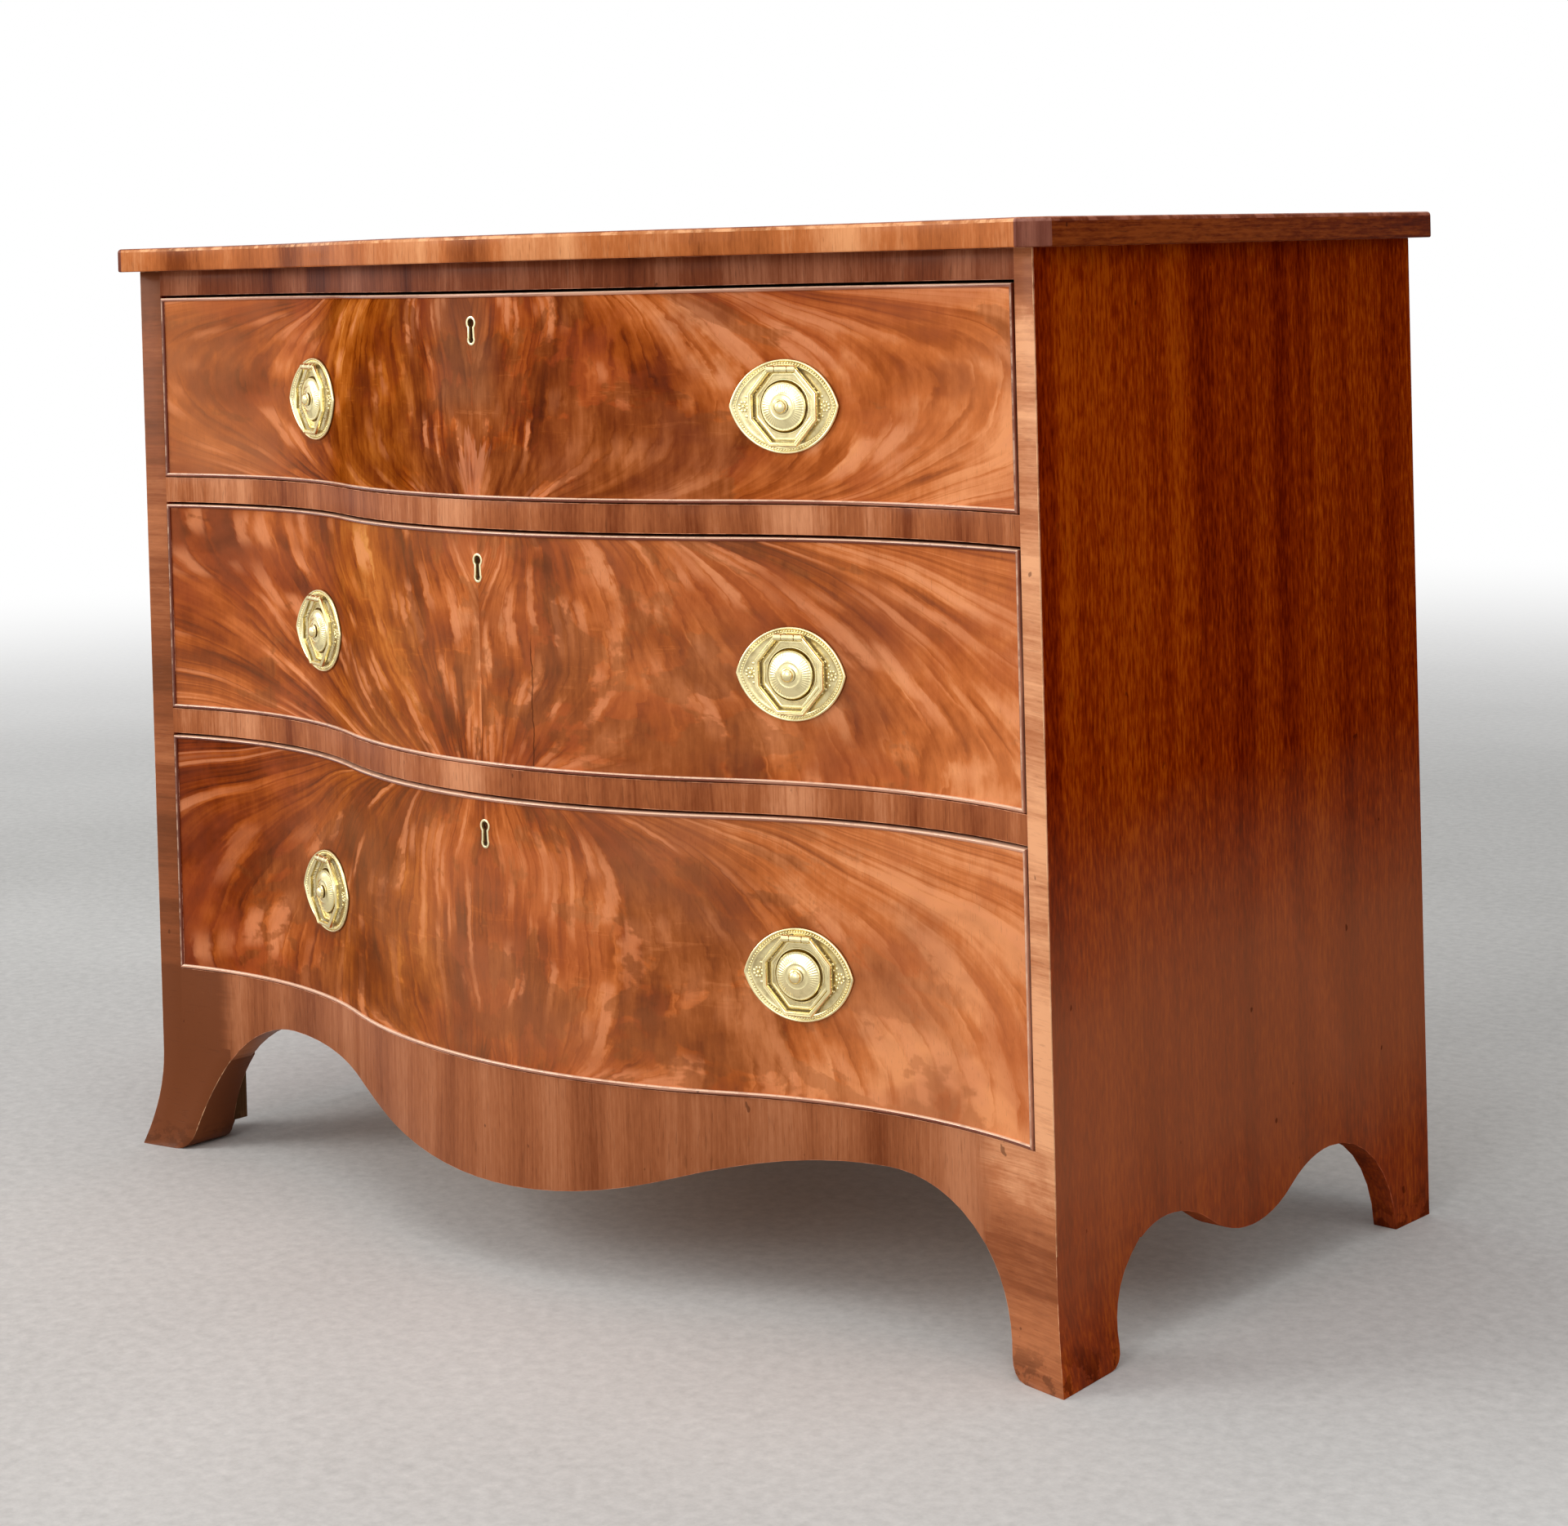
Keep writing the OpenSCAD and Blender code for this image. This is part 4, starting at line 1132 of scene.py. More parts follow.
class Finishes:
    """Every material of the commode but the flame veneers, built once."""

    def __init__(self) -> None:
        """Builds them all."""
        band = {"on_front": True, "band": 0.42}
        stile = Timber("stile_crossband", Grain.X, screen(142, 78, 45), screen(184, 113, 72),
                       screen(234, 168, 122), 0.36, 0.03, 7.7, 0.2, mottle=0.12, lean=0.29,
                       lean_from=140 * MM, grime=0.13, fibre=0.16, **band)
        self.stile = stile.build()
        self.rail = Timber(
            "rail_crossband", Grain.Z, screen(120, 56, 26), screen(168, 96, 56),
            screen(212, 142, 100), 0.36, 0.03, 1.3, 0.3, mottle=0.14, fibre=0.22, **band).build()
        # Painted shade: the top rail is coloured darker, as under the top's overhang.
        self.top_rail = Timber(
            "top_rail_crossband", Grain.Z, screen(78, 28, 12), screen(120, 60, 34),
            screen(164, 102, 72), 0.38, 0.02, 2.3, 0.3, mottle=0.12, fibre=0.22, **band).build()
        self.apron = Timber(
            "apron_crossband", Grain.Z, screen(122, 62, 32), screen(158, 92, 56),
            screen(186, 120, 82), 0.36, 0.03, 4.1, 0.25, ends=stile, on_front=True, band=0.36,
            mottle=0.14, fibre=0.22).build()
        self.top_edge = Timber(
            "top_front_edge", Grain.Z, screen(126, 58, 16), screen(188, 106, 54),
            screen(228, 156, 104), 0.34, 0.05, 5.3, 0.3, on_front=True, band=0.3, mottle=0.14,
            lean=0.04, fibre=0.12).build()
        # The sides' dark colour is partly the wood's own and partly painted shade.
        self.side = Timber(
            "side_mahogany", Grain.Z, screen(98, 20, 0), screen(132, 40, 0), screen(164, 68, 4),
            0.44, 0.0, 2.9, 0.35, gloss=0.0, tint=screen(255, 120, 40), haze=330 * MM, band=0.55,
            mottle=0.6, fibre=0.2).build()
        self.top = Timber(
            "top_mahogany", Grain.X, screen(92, 30, 8), screen(132, 54, 18),
            screen(160, 84, 40), 0.34, 0.1, 5.2, 0.4).build()
        # Painted shade: the top's side edges are coloured darker than its front edge.
        self.top_side = Timber(
            "top_side_edge", Grain.Y, screen(64, 14, 0), screen(98, 32, 2), screen(134, 60, 16),
            0.40, 0.0, 6.1, 0.4, gloss=0.02, mottle=0.4).build()
        # Painted half shade: the canted corners are coloured darker than the front edge and
        # lighter than the side edges.
        self.cant = Timber(
            "top_corner", Grain.Z, screen(92, 46, 34), screen(122, 68, 54),
            screen(150, 92, 74), 0.36, 0.03, 0.7, 0.3, mottle=0.15).build()
        self.bead, self.bead_up = (
            Timber(name, grain, screen(84, 28, 14), screen(120, 52, 32), screen(236, 178, 146),
                   0.22, 0.6, 3.3, 0.1, on_front=True, gloss=0.4, band=0.5, fibre=0.2).build()
            for name, grain in (("cockbead_wood", Grain.X), ("cockbead_upright", Grain.Z)))
        self.inner = Timber(
            "plain_mahogany", Grain.X, screen(96, 48, 28), screen(134, 76, 48),
            screen(160, 100, 66), 0.55, 0.0, 8.8, 0.5).build()
        rough = {"band": 0.7, "fibre": 0.4}
        self.pine, self.pine_long = (
            Timber(name, grain, screen(158, 104, 64), screen(196, 144, 98),
                   screen(220, 176, 130), 0.6, 0.0, seed, 0.2, mottle=0.1, **rough).build()
            for name, grain, seed in (("aged_pine", Grain.X, 6.4),
                                      ("aged_pine_sides", Grain.Y, 9.9)))
        low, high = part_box("back_boards")
        self.back = Timber(
            "aged_pine_back", Grain.X, screen(140, 92, 54), screen(176, 126, 82),
            screen(206, 160, 114), 0.65, 0.0, 2.2, 0.25, mottle=0.1,
            boards=(low.z, (high.z - low.z) / 3), **rough).build()
        # Painted shade: the glue pieces under the case are coloured dark, as the shade there.
        self.blocks = Timber(
            "dusty_pine_blocks", Grain.Z, screen(70, 44, 26), screen(96, 66, 42),
            screen(120, 88, 60), 0.75, 0.0, 4.9, 0.3, gloss=0.05, **rough).build()
        self.brass = Metal(
            "old_brass", screen(255, 240, 184), screen(112, 80, 20), 0.20, True).build()
        self.brass_plain = Metal(
            "plain_brass", screen(246, 232, 186), screen(150, 124, 70), 0.30).build()
        self.iron = Metal("filed_iron", screen(128, 128, 130), screen(62, 52, 46), 0.42).build()


# The pieces


def dress(piece: Piece, body: str, node: str, finishes: Sequence[Material],
          choose: Callable[[Face], int] | None = None) -> None:
    """Finishes a new piece.

    Args:
        piece: The piece.
        body: The body that it moves with.
        node: The solid that it stands for.
        finishes: Its materials.
        choose: Gives the number of a face's material, where there are several.
    """
    piece.data.materials.clear()
    for finish in finishes:
        piece.data.materials.append(finish)
    if choose:
        for face in piece.data.polygons:
            face.material_index = choose(face)
    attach(piece, body)
    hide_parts(node)
    log.info("%s: %d faces, on %s", piece.name, len(piece.data.polygons), body)


def repaint(material: Material, *nodes: str) -> None:
    """Gives solids that stay a better material.

    Args:
        material: The material.
        nodes: The solids' nodes.
    """
    for node in nodes:
        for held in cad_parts[node].material_slots:
            held.material = material
        log.info("%s: %s", node, material.name)


@dataclass
class Case:
    """The case: top, sides, rails, apron and feet.

    Attributes:
        finishes: The materials.
        round_edge: Rounding of the boards' edges.
        foot_top: Height of the joint over the front feet.
        seam_y: Everything before this is the veneered front.
        seam_x: Upright edges nearer to the middle than this are glued seams there.
        top_round: Rounding of the top's upper arris.
        top_under: Rounding of the top's lower arris.
        top_rub: Faces of the top's upper arris narrower than this get a painted highlight.
        case_x: Half of the case's width.
        front_over: How far the top stands past the front, at least.
        cant_x: Where the canted corners of the top start.
        near: How close two places are that count as one.
    """

    finishes: Finishes
    round_edge: float = 0.4 * MM
    foot_top: float = 91.49 * MM
    seam_y: float = -150 * MM
    seam_x: float = 499 * MM
    top_round: float = 3.2 * MM
    top_under: float = 1.6 * MM
    top_rub: float = 1.5 * MM
    case_x: float = 500 * MM
    front_over: float = 15 * MM
    cant_x: float = 496.5 * MM
    near: float = 0.1 * MM

    def build(self) -> None:
        """Builds the case's pieces and repaints those inside and behind."""
        looks = self.finishes
        self.top_board()
        for node, slot, material in (
                ("left_side", "mahogany", looks.side), ("right_side", "mahogany", looks.side),
                ("top_rail", "crossband", looks.top_rail),
                ("upper_divider", "crossband", looks.rail),
                ("lower_divider", "crossband", looks.rail),
                ("apron", "crossband", looks.apron), ("stile_facings", "crossband", looks.stile)):
            dress(self.eased(node), "case", node, [material])
        for side in Side:
            node = f"{side.name.lower()}_front_foot"
            # The feet's outer faces take the sides' colour, which is partly painted shade.
            dress(self.eased(node), "case", node, [looks.stile, looks.side],
                  lambda face, out=side.value: int(face.normal.x * out > 0.75))
        repaint(looks.back, "back_boards")
        repaint(looks.blocks, "glue_blocks")
        repaint(looks.pine, "bottom_board", "upper_dust_board", "lower_dust_board",
                "drawer_stops")
        repaint(looks.pine_long, "drawer_runners")
        repaint(looks.iron, "top_screws")

    def top_board(self) -> None:
        """The serpentine top with rounded arrises and canted corners."""
        low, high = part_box("top_board")
        piece = Bench.merged_copy("top_board", "_rounded")

        def before_back(a: Vector, b: Vector) -> bool:
            """Whether an edge doesn't lie along the back."""
            return min(a.y, b.y) < high.y - self.near

        def upper(a: Vector, b: Vector) -> bool:
            """Whether an edge bounds the upper face."""
            return min(a.z, b.z) > high.z - self.near and before_back(a, b)

        def under(a: Vector, b: Vector) -> bool:
            """Whether an edge bounds the lower face where it stands past the case."""
            past = abs(a.x) > self.case_x or a.y < CURVE.y(a.x) - self.front_over
            return max(a.z, b.z) < low.z + self.near and before_back(a, b) and past

        def finish_of(face: Face) -> int:
            """Tells the board's surfaces apart.

            Args:
                face: A face.

            Returns:
                0 for the upper and lower face, 1 for the front edge, 2 for a canted corner, which
                is painted in half shade, and 3 for a side edge, which is painted in shade.
            """
            if abs(face.normal.z) > 0.8 or face.normal.y > 0.5:
                return 0
            if abs(face.center.x) < self.cant_x:
                return 1
            return 2 if face.normal.y < -0.25 else 3

        Bench.bevel(piece, self.top_round, 4, rule=upper)
        Bench.bevel(piece, self.top_under, 3, rule=under)
        # Painted highlight: the faces of the top's upper arris are marked to turn paler.
        Bench.rub_edges(piece, self.top_rub, high.z - self.top_round)
        Bench.shade(piece)
        looks = self.finishes
        dress(piece, "case", "top_board",
              [looks.top, looks.top_edge, looks.cant, looks.top_side], finish_of)

    def off_joint(self, a: Vector, b: Vector) -> bool:
        """Whether an edge lies clear of the glued joints of the front.

        Args:
            a: One end.
            b: The other end.

        Returns:
            True if it does.
        """
        if max(abs(a.z - self.foot_top), abs(b.z - self.foot_top)) < self.near:
            return False
        upright = abs(a.x - b.x) < self.near and abs(a.y - b.y) < self.near
        return not (upright and a.y < self.seam_y and abs(a.x) < self.seam_x)

    def eased(self, node: str) -> Piece:
        """Copies a board and takes off its sharp edges.

        Args:
            node: The board's node.

        Returns:
            The copy.
        """
        piece = Bench.merged_copy(node, "_eased")
        Bench.bevel(piece, self.round_edge, 2, 40, self.off_joint)
        Bench.rub_edges(piece, self.round_edge)
        Bench.shade(piece)
        return piece


@dataclass
class DrawerLooks:
    """One drawer's front, beads, lock and box.

    Attributes:
        which: The drawer.
        finishes: The materials.
        half_w: Half of the drawer's width.
        bead: Thickness of the cockbead.
        bead_out: How far it stands out.
        bead_in: How far it is let in.
        bead_steps: Faces round its nose.
        rubbed: Strength of the painted highlight on its upper faces.
        rubbed_up: Strength of the painted highlight on the fronts of the upright beads.
        rim: Rounding of the escutcheon.
    """

    which: Drawer
    finishes: Finishes
    half_w: float = 477.8 * MM
    bead: float = 3 * MM
    bead_out: float = 2.2 * MM
    bead_in: float = 5.8 * MM
    bead_steps: int = 8
    rubbed: float = 5.0
    rubbed_up: float = 0.5
    rim: float = 0.35 * MM

    def build(self) -> None:
        """Builds the drawer's pieces and repaints the others."""
        looks, name = self.finishes, self.which.value
        body = f"{name}_drawer"
        veneer = Bench.merged_copy(f"{name}_drawer_veneer", "_smooth")
        Bench.shade(veneer)
        dress(veneer, body, f"{name}_drawer_veneer",
              [VENEERS[self.which].build()])
        bead = self.cockbead(f"{name}_drawer_cockbead")
        dress(bead, body, f"{name}_drawer_cockbead", [looks.bead, looks.bead_up],
              lambda face: int(abs(face.center.x) > self.half_w - self.bead))
        rim = Bench.merged_copy(f"{name}_escutcheon", "_rounded")
        Bench.bevel(rim, self.rim, 2, 60)
        Bench.shade(rim, 40)
        dress(rim, body, f"{name}_escutcheon", [looks.brass_plain])
        repaint(looks.inner, f"{name}_drawer_front")
        repaint(looks.pine_long, f"{name}_drawer_sides")
        repaint(looks.pine, f"{name}_drawer_back", f"{name}_drawer_bottom")
        repaint(looks.iron, f"{name}_lock")
        repaint(looks.brass_plain, f"{name}_lock_bolt")

    def section(self, place: Callable[[float], float], edge: float, up: int) -> Ring:
        """The bead's round-nosed section at an end or along a strip.

        Args:
            place: Gives X from the distance across the strip.
            edge: Height of the strip's outer edge.
            up: 1 if the strip lies over that edge, -1 if under it.

        Returns:
            The section's points.
        """
        radius = self.bead / 2
        angles = [math.pi * i / self.bead_steps for i in range(self.bead_steps + 1)]
        nose = [(self.bead_in, 0.0)]
        nose += [(radius - self.bead_out - radius * math.sin(angle),
                  radius - radius * math.cos(angle)) for angle in angles]
        nose += [(self.bead_in, self.bead)]
        return [(place(across), CURVE.y(place(across)) + back, edge + up * across)
                for back, across in nose]

    def cockbead(self, node: str) -> Piece:
        """Four round-nosed strips, mitred at the corners.

        Args:
            node: The solid's node.

        Returns:
            The bead.
        """
        low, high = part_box(node)
        edges = ((low.z, 1), (high.z, -1))
        inner = self.half_w - self.bead

        def mitre(end: int, edge: float, up: int) -> Ring:
            """The section on the mitre at an end."""
            return self.section(lambda across: end * (self.half_w - across), edge, up)

        strips = []
        for edge, up in edges:
            straight = [self.section(lambda _, x=x: x, edge, up)
                        for x in CURVE.between(-inner, inner)]
            rings = [mitre(-1, edge, up), *straight, mitre(1, edge, up)]
            strips.append(Bench.loft("strip", rings))
        for end in (-1, 1):
            strips.append(Bench.loft("strip", [mitre(end, edge, up) for edge, up in edges]))
        piece = Bench.join(node + "_round", strips)
        # Painted highlight: the bead's upper faces, and the fronts of its upright strips, turn
        # paler.
        layer = piece.data.attributes.new(WEAR_AND_HIGHLIGHT, "FLOAT", "FACE")
        for held, face in zip(layer.data, piece.data.polygons):
            in_front = abs(face.normal.z) < 0.05 and face.normal.y < -0.9
            upper = face.normal.z > 0.35
            held.value = self.rubbed if upper else self.rubbed_up if in_front else 0.0
        Bench.shade(piece, 35)
        return piece


@dataclass
class PullMaker:
    """Makes the brass pulls: pointed oval plate, boss, knob and eight-sided bail.

    A pull is made lying in its own plane: X across, Z up, and out of the drawer along -Y. Then it
    is turned and set at its place on the front. Rows of sections are in millimetres.

    Attributes:
        finishes: The materials.
        x: Distance of a pull from the middle.
        turn: Angle of the front there.
        half_w: Half of the plate's width.
        half_h: Half of its height.
        bail_half_w: Half of the bail's width.
        bail_half_h: Half of its height.
        bail_flat_x: Half of the bail's level bars.
        bail_flat_z: Half of its upright bars.
        bar: Width of the bail's bar.
        hinge_out: How far the hinge's line stands out.
        hinge_up: Its height over the middle of the plate.
        knuckle_r: Radius of the hinge's knuckles.
        pin_r: Radius of the hinge's pin.
        ease: Rounding of the knuckles' ends.
        barrel: Length of the plate's barrel.
        knuckle: Length of a bail's knuckle.
        play: Gap between the barrel and a knuckle.
        boss_out: Height of the boss.
        bolt_r: Radius of the bolt behind the knob.
        nut_y: How far behind the plate the nut starts.
        nut: Half of the nut's width.
        nut_h: Its thickness.
        nut_ease: Its bevel.
        smooth: Points round the plate's outlines.
    """

    finishes: Finishes
    x: float = 267 * MM
    turn: float = math.radians(15.6735)
    half_w: float = 45 * MM
    half_h: float = 35 * MM
    bail_half_w: float = 28 * MM
    bail_half_h: float = 29.5 * MM
    bail_flat_x: float = 11 * MM
    bail_flat_z: float = 10 * MM
    bar: float = 3.4 * MM
    hinge_out: float = 5.95 * MM
    hinge_up: float = 27.55 * MM
    knuckle_r: float = 2.75 * MM
    pin_r: float = 1 * MM
    ease: float = 0.35 * MM
    barrel: float = 10 * MM
    knuckle: float = 6.5 * MM
    play: float = 0.3 * MM
    boss_out: float = 8 * MM
    bolt_r: float = 2.5 * MM
    nut_y: float = 25.183 * MM
    nut: float = 6 * MM
    nut_h: float = 4 * MM
    nut_ease: float = 0.8 * MM
    smooth: int = 128

    def surface(self, x: float) -> float:
        """Measures the front's curve from the pull's plane.

        Args:
            x: Distance along that plane.

        Returns:
            How far the wood stands out there.
        """
        origin = Vector((self.x, CURVE.line_y - CURVE.reach(self.x)))
        along = Vector((math.cos(self.turn), math.sin(self.turn)))
        out = Vector((math.sin(self.turn), -math.cos(self.turn)))
        offset = 0.0
        for _ in range(4):
            place = origin + along * x + out * offset
            y = CURVE.line_y - CURVE.reach(place.x)
            offset = (Vector((place.x, y)) - origin).dot(out)
        return offset

    def navette(self, angle: float, share: float = 1.0) -> tuple[float, float]:
        """Follows the plate's outline, which is two arcs that meet in points.

        Args:
            angle: Share of the way round, in radians.
            share: How large the outline is.

        Returns:
            X and Z there.
        """
        w, h = self.half_w, self.half_h
        radius = (w * w + h * h) / (2 * h)
        turn = (angle % (2 * math.pi)) / math.pi
        swing = (1 - 2 * (turn % 1)) * math.asin(w / radius)
        side = share if turn < 1 else -share
        return side * radius * math.sin(swing), side * (radius * math.cos(swing) - radius + h)

    def eight(self, angle: float, inset: float) -> tuple[float, float]:
        """Follows the bail's eight-sided outline.

        Args:
            angle: Direction from the middle, in radians.
            inset: How far the outline is drawn in.

        Returns:
            X and Z there.
        """
        cut = inset * math.tan(math.radians(22.5))
        w, h = self.bail_half_w - inset, self.bail_half_h - inset
        fx, fz = self.bail_flat_x - cut, self.bail_flat_z - cut
        c, s = abs(math.cos(angle)), abs(math.sin(angle))
        slant = (w - fx) * (h - fz) + fx * (h - fz) + fz * (w - fx)
        reach = min(w / c if c > 1e-9 else 1.0, h / s if s > 1e-9 else 1.0,
                    slant / (c * (h - fz) + s * (w - fx)))
        return reach * math.cos(angle), reach * math.sin(angle)

    def sheet(self) -> Piece:
        """The pointed oval sheet with its raised rim.

        Returns:
            The sheet, bent to the drawer's curve.
        """
        rows = (  # share of the outline, distance out
            (0.25, 0.0), (0.6, 0.0), (0.999, 0.0), (1.0, 0.9), (0.996, 1.7), (0.986, 2.15),
            (0.972, 2.35), (0.956, 2.25), (0.944, 1.95), (0.936, 1.45), (0.924, 1.3),
            (0.900, 1.3), (0.890, 1.7), (0.876, 1.75), (0.866, 1.4), (0.852, 1.2), (0.80, 1.25),
            (0.70, 1.3), (0.60, 1.3), (0.45, 1.2), (0.25, 1.2))
        rings = [ring_of(self.smooth, lambda a, s=share: self.navette(a, s), out * MM)
                 for share, out in rows]
        return self.bend(Bench.mark_height(Bench.loft("sheet", rings), 0.7 * MM, 1.75 * MM))

    def bend(self, piece: Piece) -> Piece:
        """Bends a flat piece of the plate to the drawer's curve.

        Args:
            piece: The piece.

        Returns:
            The same piece.
        """
        for vertex in piece.data.vertices:
            vertex.co.y -= self.surface(vertex.co.x)
        return piece

    def pellets(self) -> Piece:
        """Milled line inside the rim, flowers at the points and leaves beside them.

        Returns:
            The pellets, bent to the drawer's curve.
        """
        count, line, petals, flower_x, petal_x = 100, 0.912, 8, 33.2, 3.3
        spots = []  # X, distance out and Z, and the radii along them, in millimetres
        for i in range(count):
            x, z = self.navette(2 * math.pi * (i + 0.5) / count, line)
            spots.append((x / MM, 1.45, z / MM, 0.8, 0.65, 0.8))
        for side in (-1, 1):
            spots.append((side * flower_x, 1.5, 0.0, 1.5, 1.4, 1.5))
            for petal in range(petals):
                angle = 2 * math.pi * (petal + 0.5) / petals
                spots.append((side * flower_x + petal_x * math.cos(angle), 1.25,
                              petal_x * math.sin(angle), 1.4, 0.8, 1.4))
            for up in (-1, 1):
                for step, size in enumerate((1.7, 1.4, 1.1, 0.9)):
                    in_x, in_z = 3.1 * step, 2.9 * step
                    spots.append((side * (30.6 - in_x), 1.25, up * (7.2 + in_z),
                                  size, 0.7, size * 0.8))
                    spots.append((side * (28.6 - in_x), 1.2, up * (5.6 + in_z),
                                  size * 0.6, 0.5, size * 0.6))
        Bench.clear()
        bpy.ops.mesh.primitive_uv_sphere_add(segments=8, ring_count=5, radius=MM)
        ball = bpy.context.active_object
        pieces = [Bench.copy(ball, "pellet", Matrix.Translation((x * MM, -out * MM, z * MM))
                             @ Matrix.Diagonal((*radii, 1.0))) for x, out, z, *radii in spots]
        bpy.data.objects.remove(ball)
        return self.bend(Bench.mark_height(Bench.join("pellets", pieces), 1 * MM, 2 * MM))

    def panel(self) -> Piece:
        """Eight-sided raised panel with a round recess for the boss.

        Returns:
            The panel.
        """
        eights = ((4.4, 0.5), (4.4, 2.3), (4.55, 2.65), (4.9, 2.8), (6.2, 2.8), (6.6, 2.65),
                  (6.8, 2.2))  # inset from the bail's outline, distance out
        rounds = ((20.6, 2.2), (20.3, 2.55), (19.6, 2.6), (19.2, 2.3), (19.0, 1.5), (12.0, 1.5))
        rings = [ring_of(self.smooth, lambda a, i=inset: self.eight(a, i * MM), out * MM)
                 for inset, out in eights]
        rings += [ring_of(self.smooth, circle(r * MM), out * MM) for r, out in rounds]
        return Bench.mark_height(Bench.loft("panel", rings), 1.6 * MM, 2.7 * MM)

    def boss(self) -> Piece:
        """The domed boss with radial flutes near its edge.

        Returns:
            The boss.
        """
        count, flutes = 192, 48
        rows = (  # radius, distance out, depth of the flutes
            (16.5, 1.0, 0), (17.4, 2.2, 0), (18.0, 3.4, 0), (18.0, 4.3, 0), (17.6, 4.75, 0),
            (17.0, 4.8, 0), (16.5, 4.65, 0.05), (15.8, 4.95, 0.15), (14.4, 5.45, 0.18),
            (12.8, 6.0, 0.15), (11.2, 6.5, 0.08), (10.2, 6.8, 0), (9.8, 7.05, 0), (9.2, 7.1, 0),
            (8.8, 6.95, 0), (7.4, 7.3, 0), (6.2, 7.6, 0), (3.0, 7.9, 0))
        rings = []
        for radius, out, depth in rows:
            ring = ring_of(count, circle(radius * MM), out * MM)
            waves = [depth * MM * math.cos(2 * math.pi * flutes * i / count)
                     for i in range(count)]
            rings.append([(x, y - wave, z) for (x, y, z), wave in zip(ring, waves)])
        return Bench.mark_height(Bench.loft("boss", rings), 2 * MM, 5 * MM)

    def rod(self, name: str, rows: Iterable[tuple[float, float]], count: int = 24) -> Piece:
        """A round piece on the hinge's line.

        Args:
            name: Its name.
            rows: X and radius of each ring.
            count: Points of a ring.

        Returns:
            The piece.
        """
        steps = [2 * math.pi * i / count for i in range(count)]
        return Bench.loft(name, [
            [(x, -self.hinge_out - r * math.cos(a), self.hinge_up + r * math.sin(a))
             for a in steps] for x, r in rows])

    def tube(self, name: str, start: float, length: float) -> Piece:
        """A knuckle or barrel with eased ends.

        Args:
            name: Its name.
            start: X of its left end.
            length: Its length.

        Returns:
            The piece.
        """
        small, ease = self.knuckle_r - self.ease, self.ease
        return self.rod(name, [(start, small), (start + ease, self.knuckle_r),
                               (start + length - ease, self.knuckle_r), (start + length, small)])

    def plate(self) -> Piece:
        """The whole backplate, with the barrel and the block that carries it.

        Returns:
            The plate.
        """
        half, depth, foot, inset = self.barrel / 2, self.knuckle_r / 2, 0.8 * MM, 0.2 * MM
        low, high = self.hinge_up - depth, self.hinge_up + depth
        lug = Bench.loft("lug", [
            [(x, -foot, low), (x, -foot, high), (x, -self.hinge_out, high),
             (x, -self.hinge_out, low)] for x in (inset - half, half - inset)])
        hinge = [Bench.mark_height(piece, 0.0, 1 * MM)
                 for piece in (self.tube("barrel", -half, self.barrel), lug)]
        parts = [self.sheet(), self.pellets(), self.panel(), self.boss(), *hinge]
        plate = Bench.join("plate", parts)
        Bench.shade(plate, 40)
        return plate

    def bolt(self) -> Piece:
        """The knob on the boss, and the bolt and square nut that hold the pull.

        Returns:
            The bolt.
        """
        rows = ((0.4, -1.0), (2.5, -1.0), (2.5, 0.0), (5.5, 0.0), (5.8, 0.35), (5.8, 0.9),
                (5.4, 1.3), (4.9, 1.5), (4.9, 1.9), (4.5, 2.8), (3.7, 3.6), (2.6, 4.15),
                (1.3, 4.42), (0.3, 4.5))  # radius, distance out from the boss
        knob = Bench.loft("knob", [ring_of(48, circle(r * MM), self.boss_out + out * MM)
                                   for r, out in rows])
        Bench.mark_height(knob, self.boss_out + 0.2 * MM, self.boss_out + 1.6 * MM)
        end = self.nut_y + self.nut_h
        shank = Bench.loft("shank", [ring_of(32, circle(self.bolt_r), out)
                                     for out in (self.boss_out - 0.5 * MM, -end)])
        steps = ((self.nut_y, self.nut - self.nut_ease), (self.nut_y + self.nut_ease, self.nut),
                 (end - self.nut_ease, self.nut), (end, self.nut - self.nut_ease))
        nut = Bench.loft("nut", [[(-half, y, -half), (half, y, -half), (half, y, half),
                                  (-half, y, half)] for y, half in steps])
        shank = Bench.mark_height(Bench.join("shank", [shank, nut]), -1.0, 0.0)
        bolt = Bench.join("bolt", [knob, shank])
        Bench.shade(bolt, 40)
        return bolt

    def bail(self) -> Piece:
        """The eight-sided bail with its two knuckles and pin.

        Returns:
            The bail.
        """
        section = (  # across the bar, out of the drawer
            (-1.7, -1.1), (-1.1, -1.7), (1.1, -1.7), (1.7, -1.1), (1.7, 0.9), (1.25, 1.55),
            (0.7, 1.7), (0.35, 1.35), (-0.35, 1.35), (-0.7, 1.7), (-1.25, 1.55), (-1.7, 0.9))
        half, pin_over, bar_over = self.bar / 2, 1 * MM, 1.2 * MM
        w, h = self.bail_half_w - half, self.bail_half_h - half
        cut = half * math.tan(math.radians(22.5))
        fx, fz = self.bail_flat_x - cut, self.bail_flat_z - cut
        inner = self.barrel / 2 + self.play
        path = [(inner + bar_over, h), (fx, h), (w, fz), (w, -fz), (fx, -h)]
        path = [Vector(spot) for spot in path + [(-x, z) for x, z in reversed(path)]]
        legs = [(b - a).normalized() for a, b in zip(path, path[1:])]
        rings = []
        for here, before, after in zip(path, legs[:1] + legs, legs + legs[-1:]):
            tangent = (before + after).normalized()
            across = Vector((tangent.y, -tangent.x)) / max(0.5, tangent.dot(before))
            rings.append([(here.x + across.x * a * MM, -self.hinge_out - out * MM,
                           here.y + across.y * a * MM) for a, out in section])
        pieces = [Bench.loft("bar", rings)]
        pieces += [self.tube("knuckle", start, self.knuckle)
                   for start in (-inner - self.knuckle, inner)]
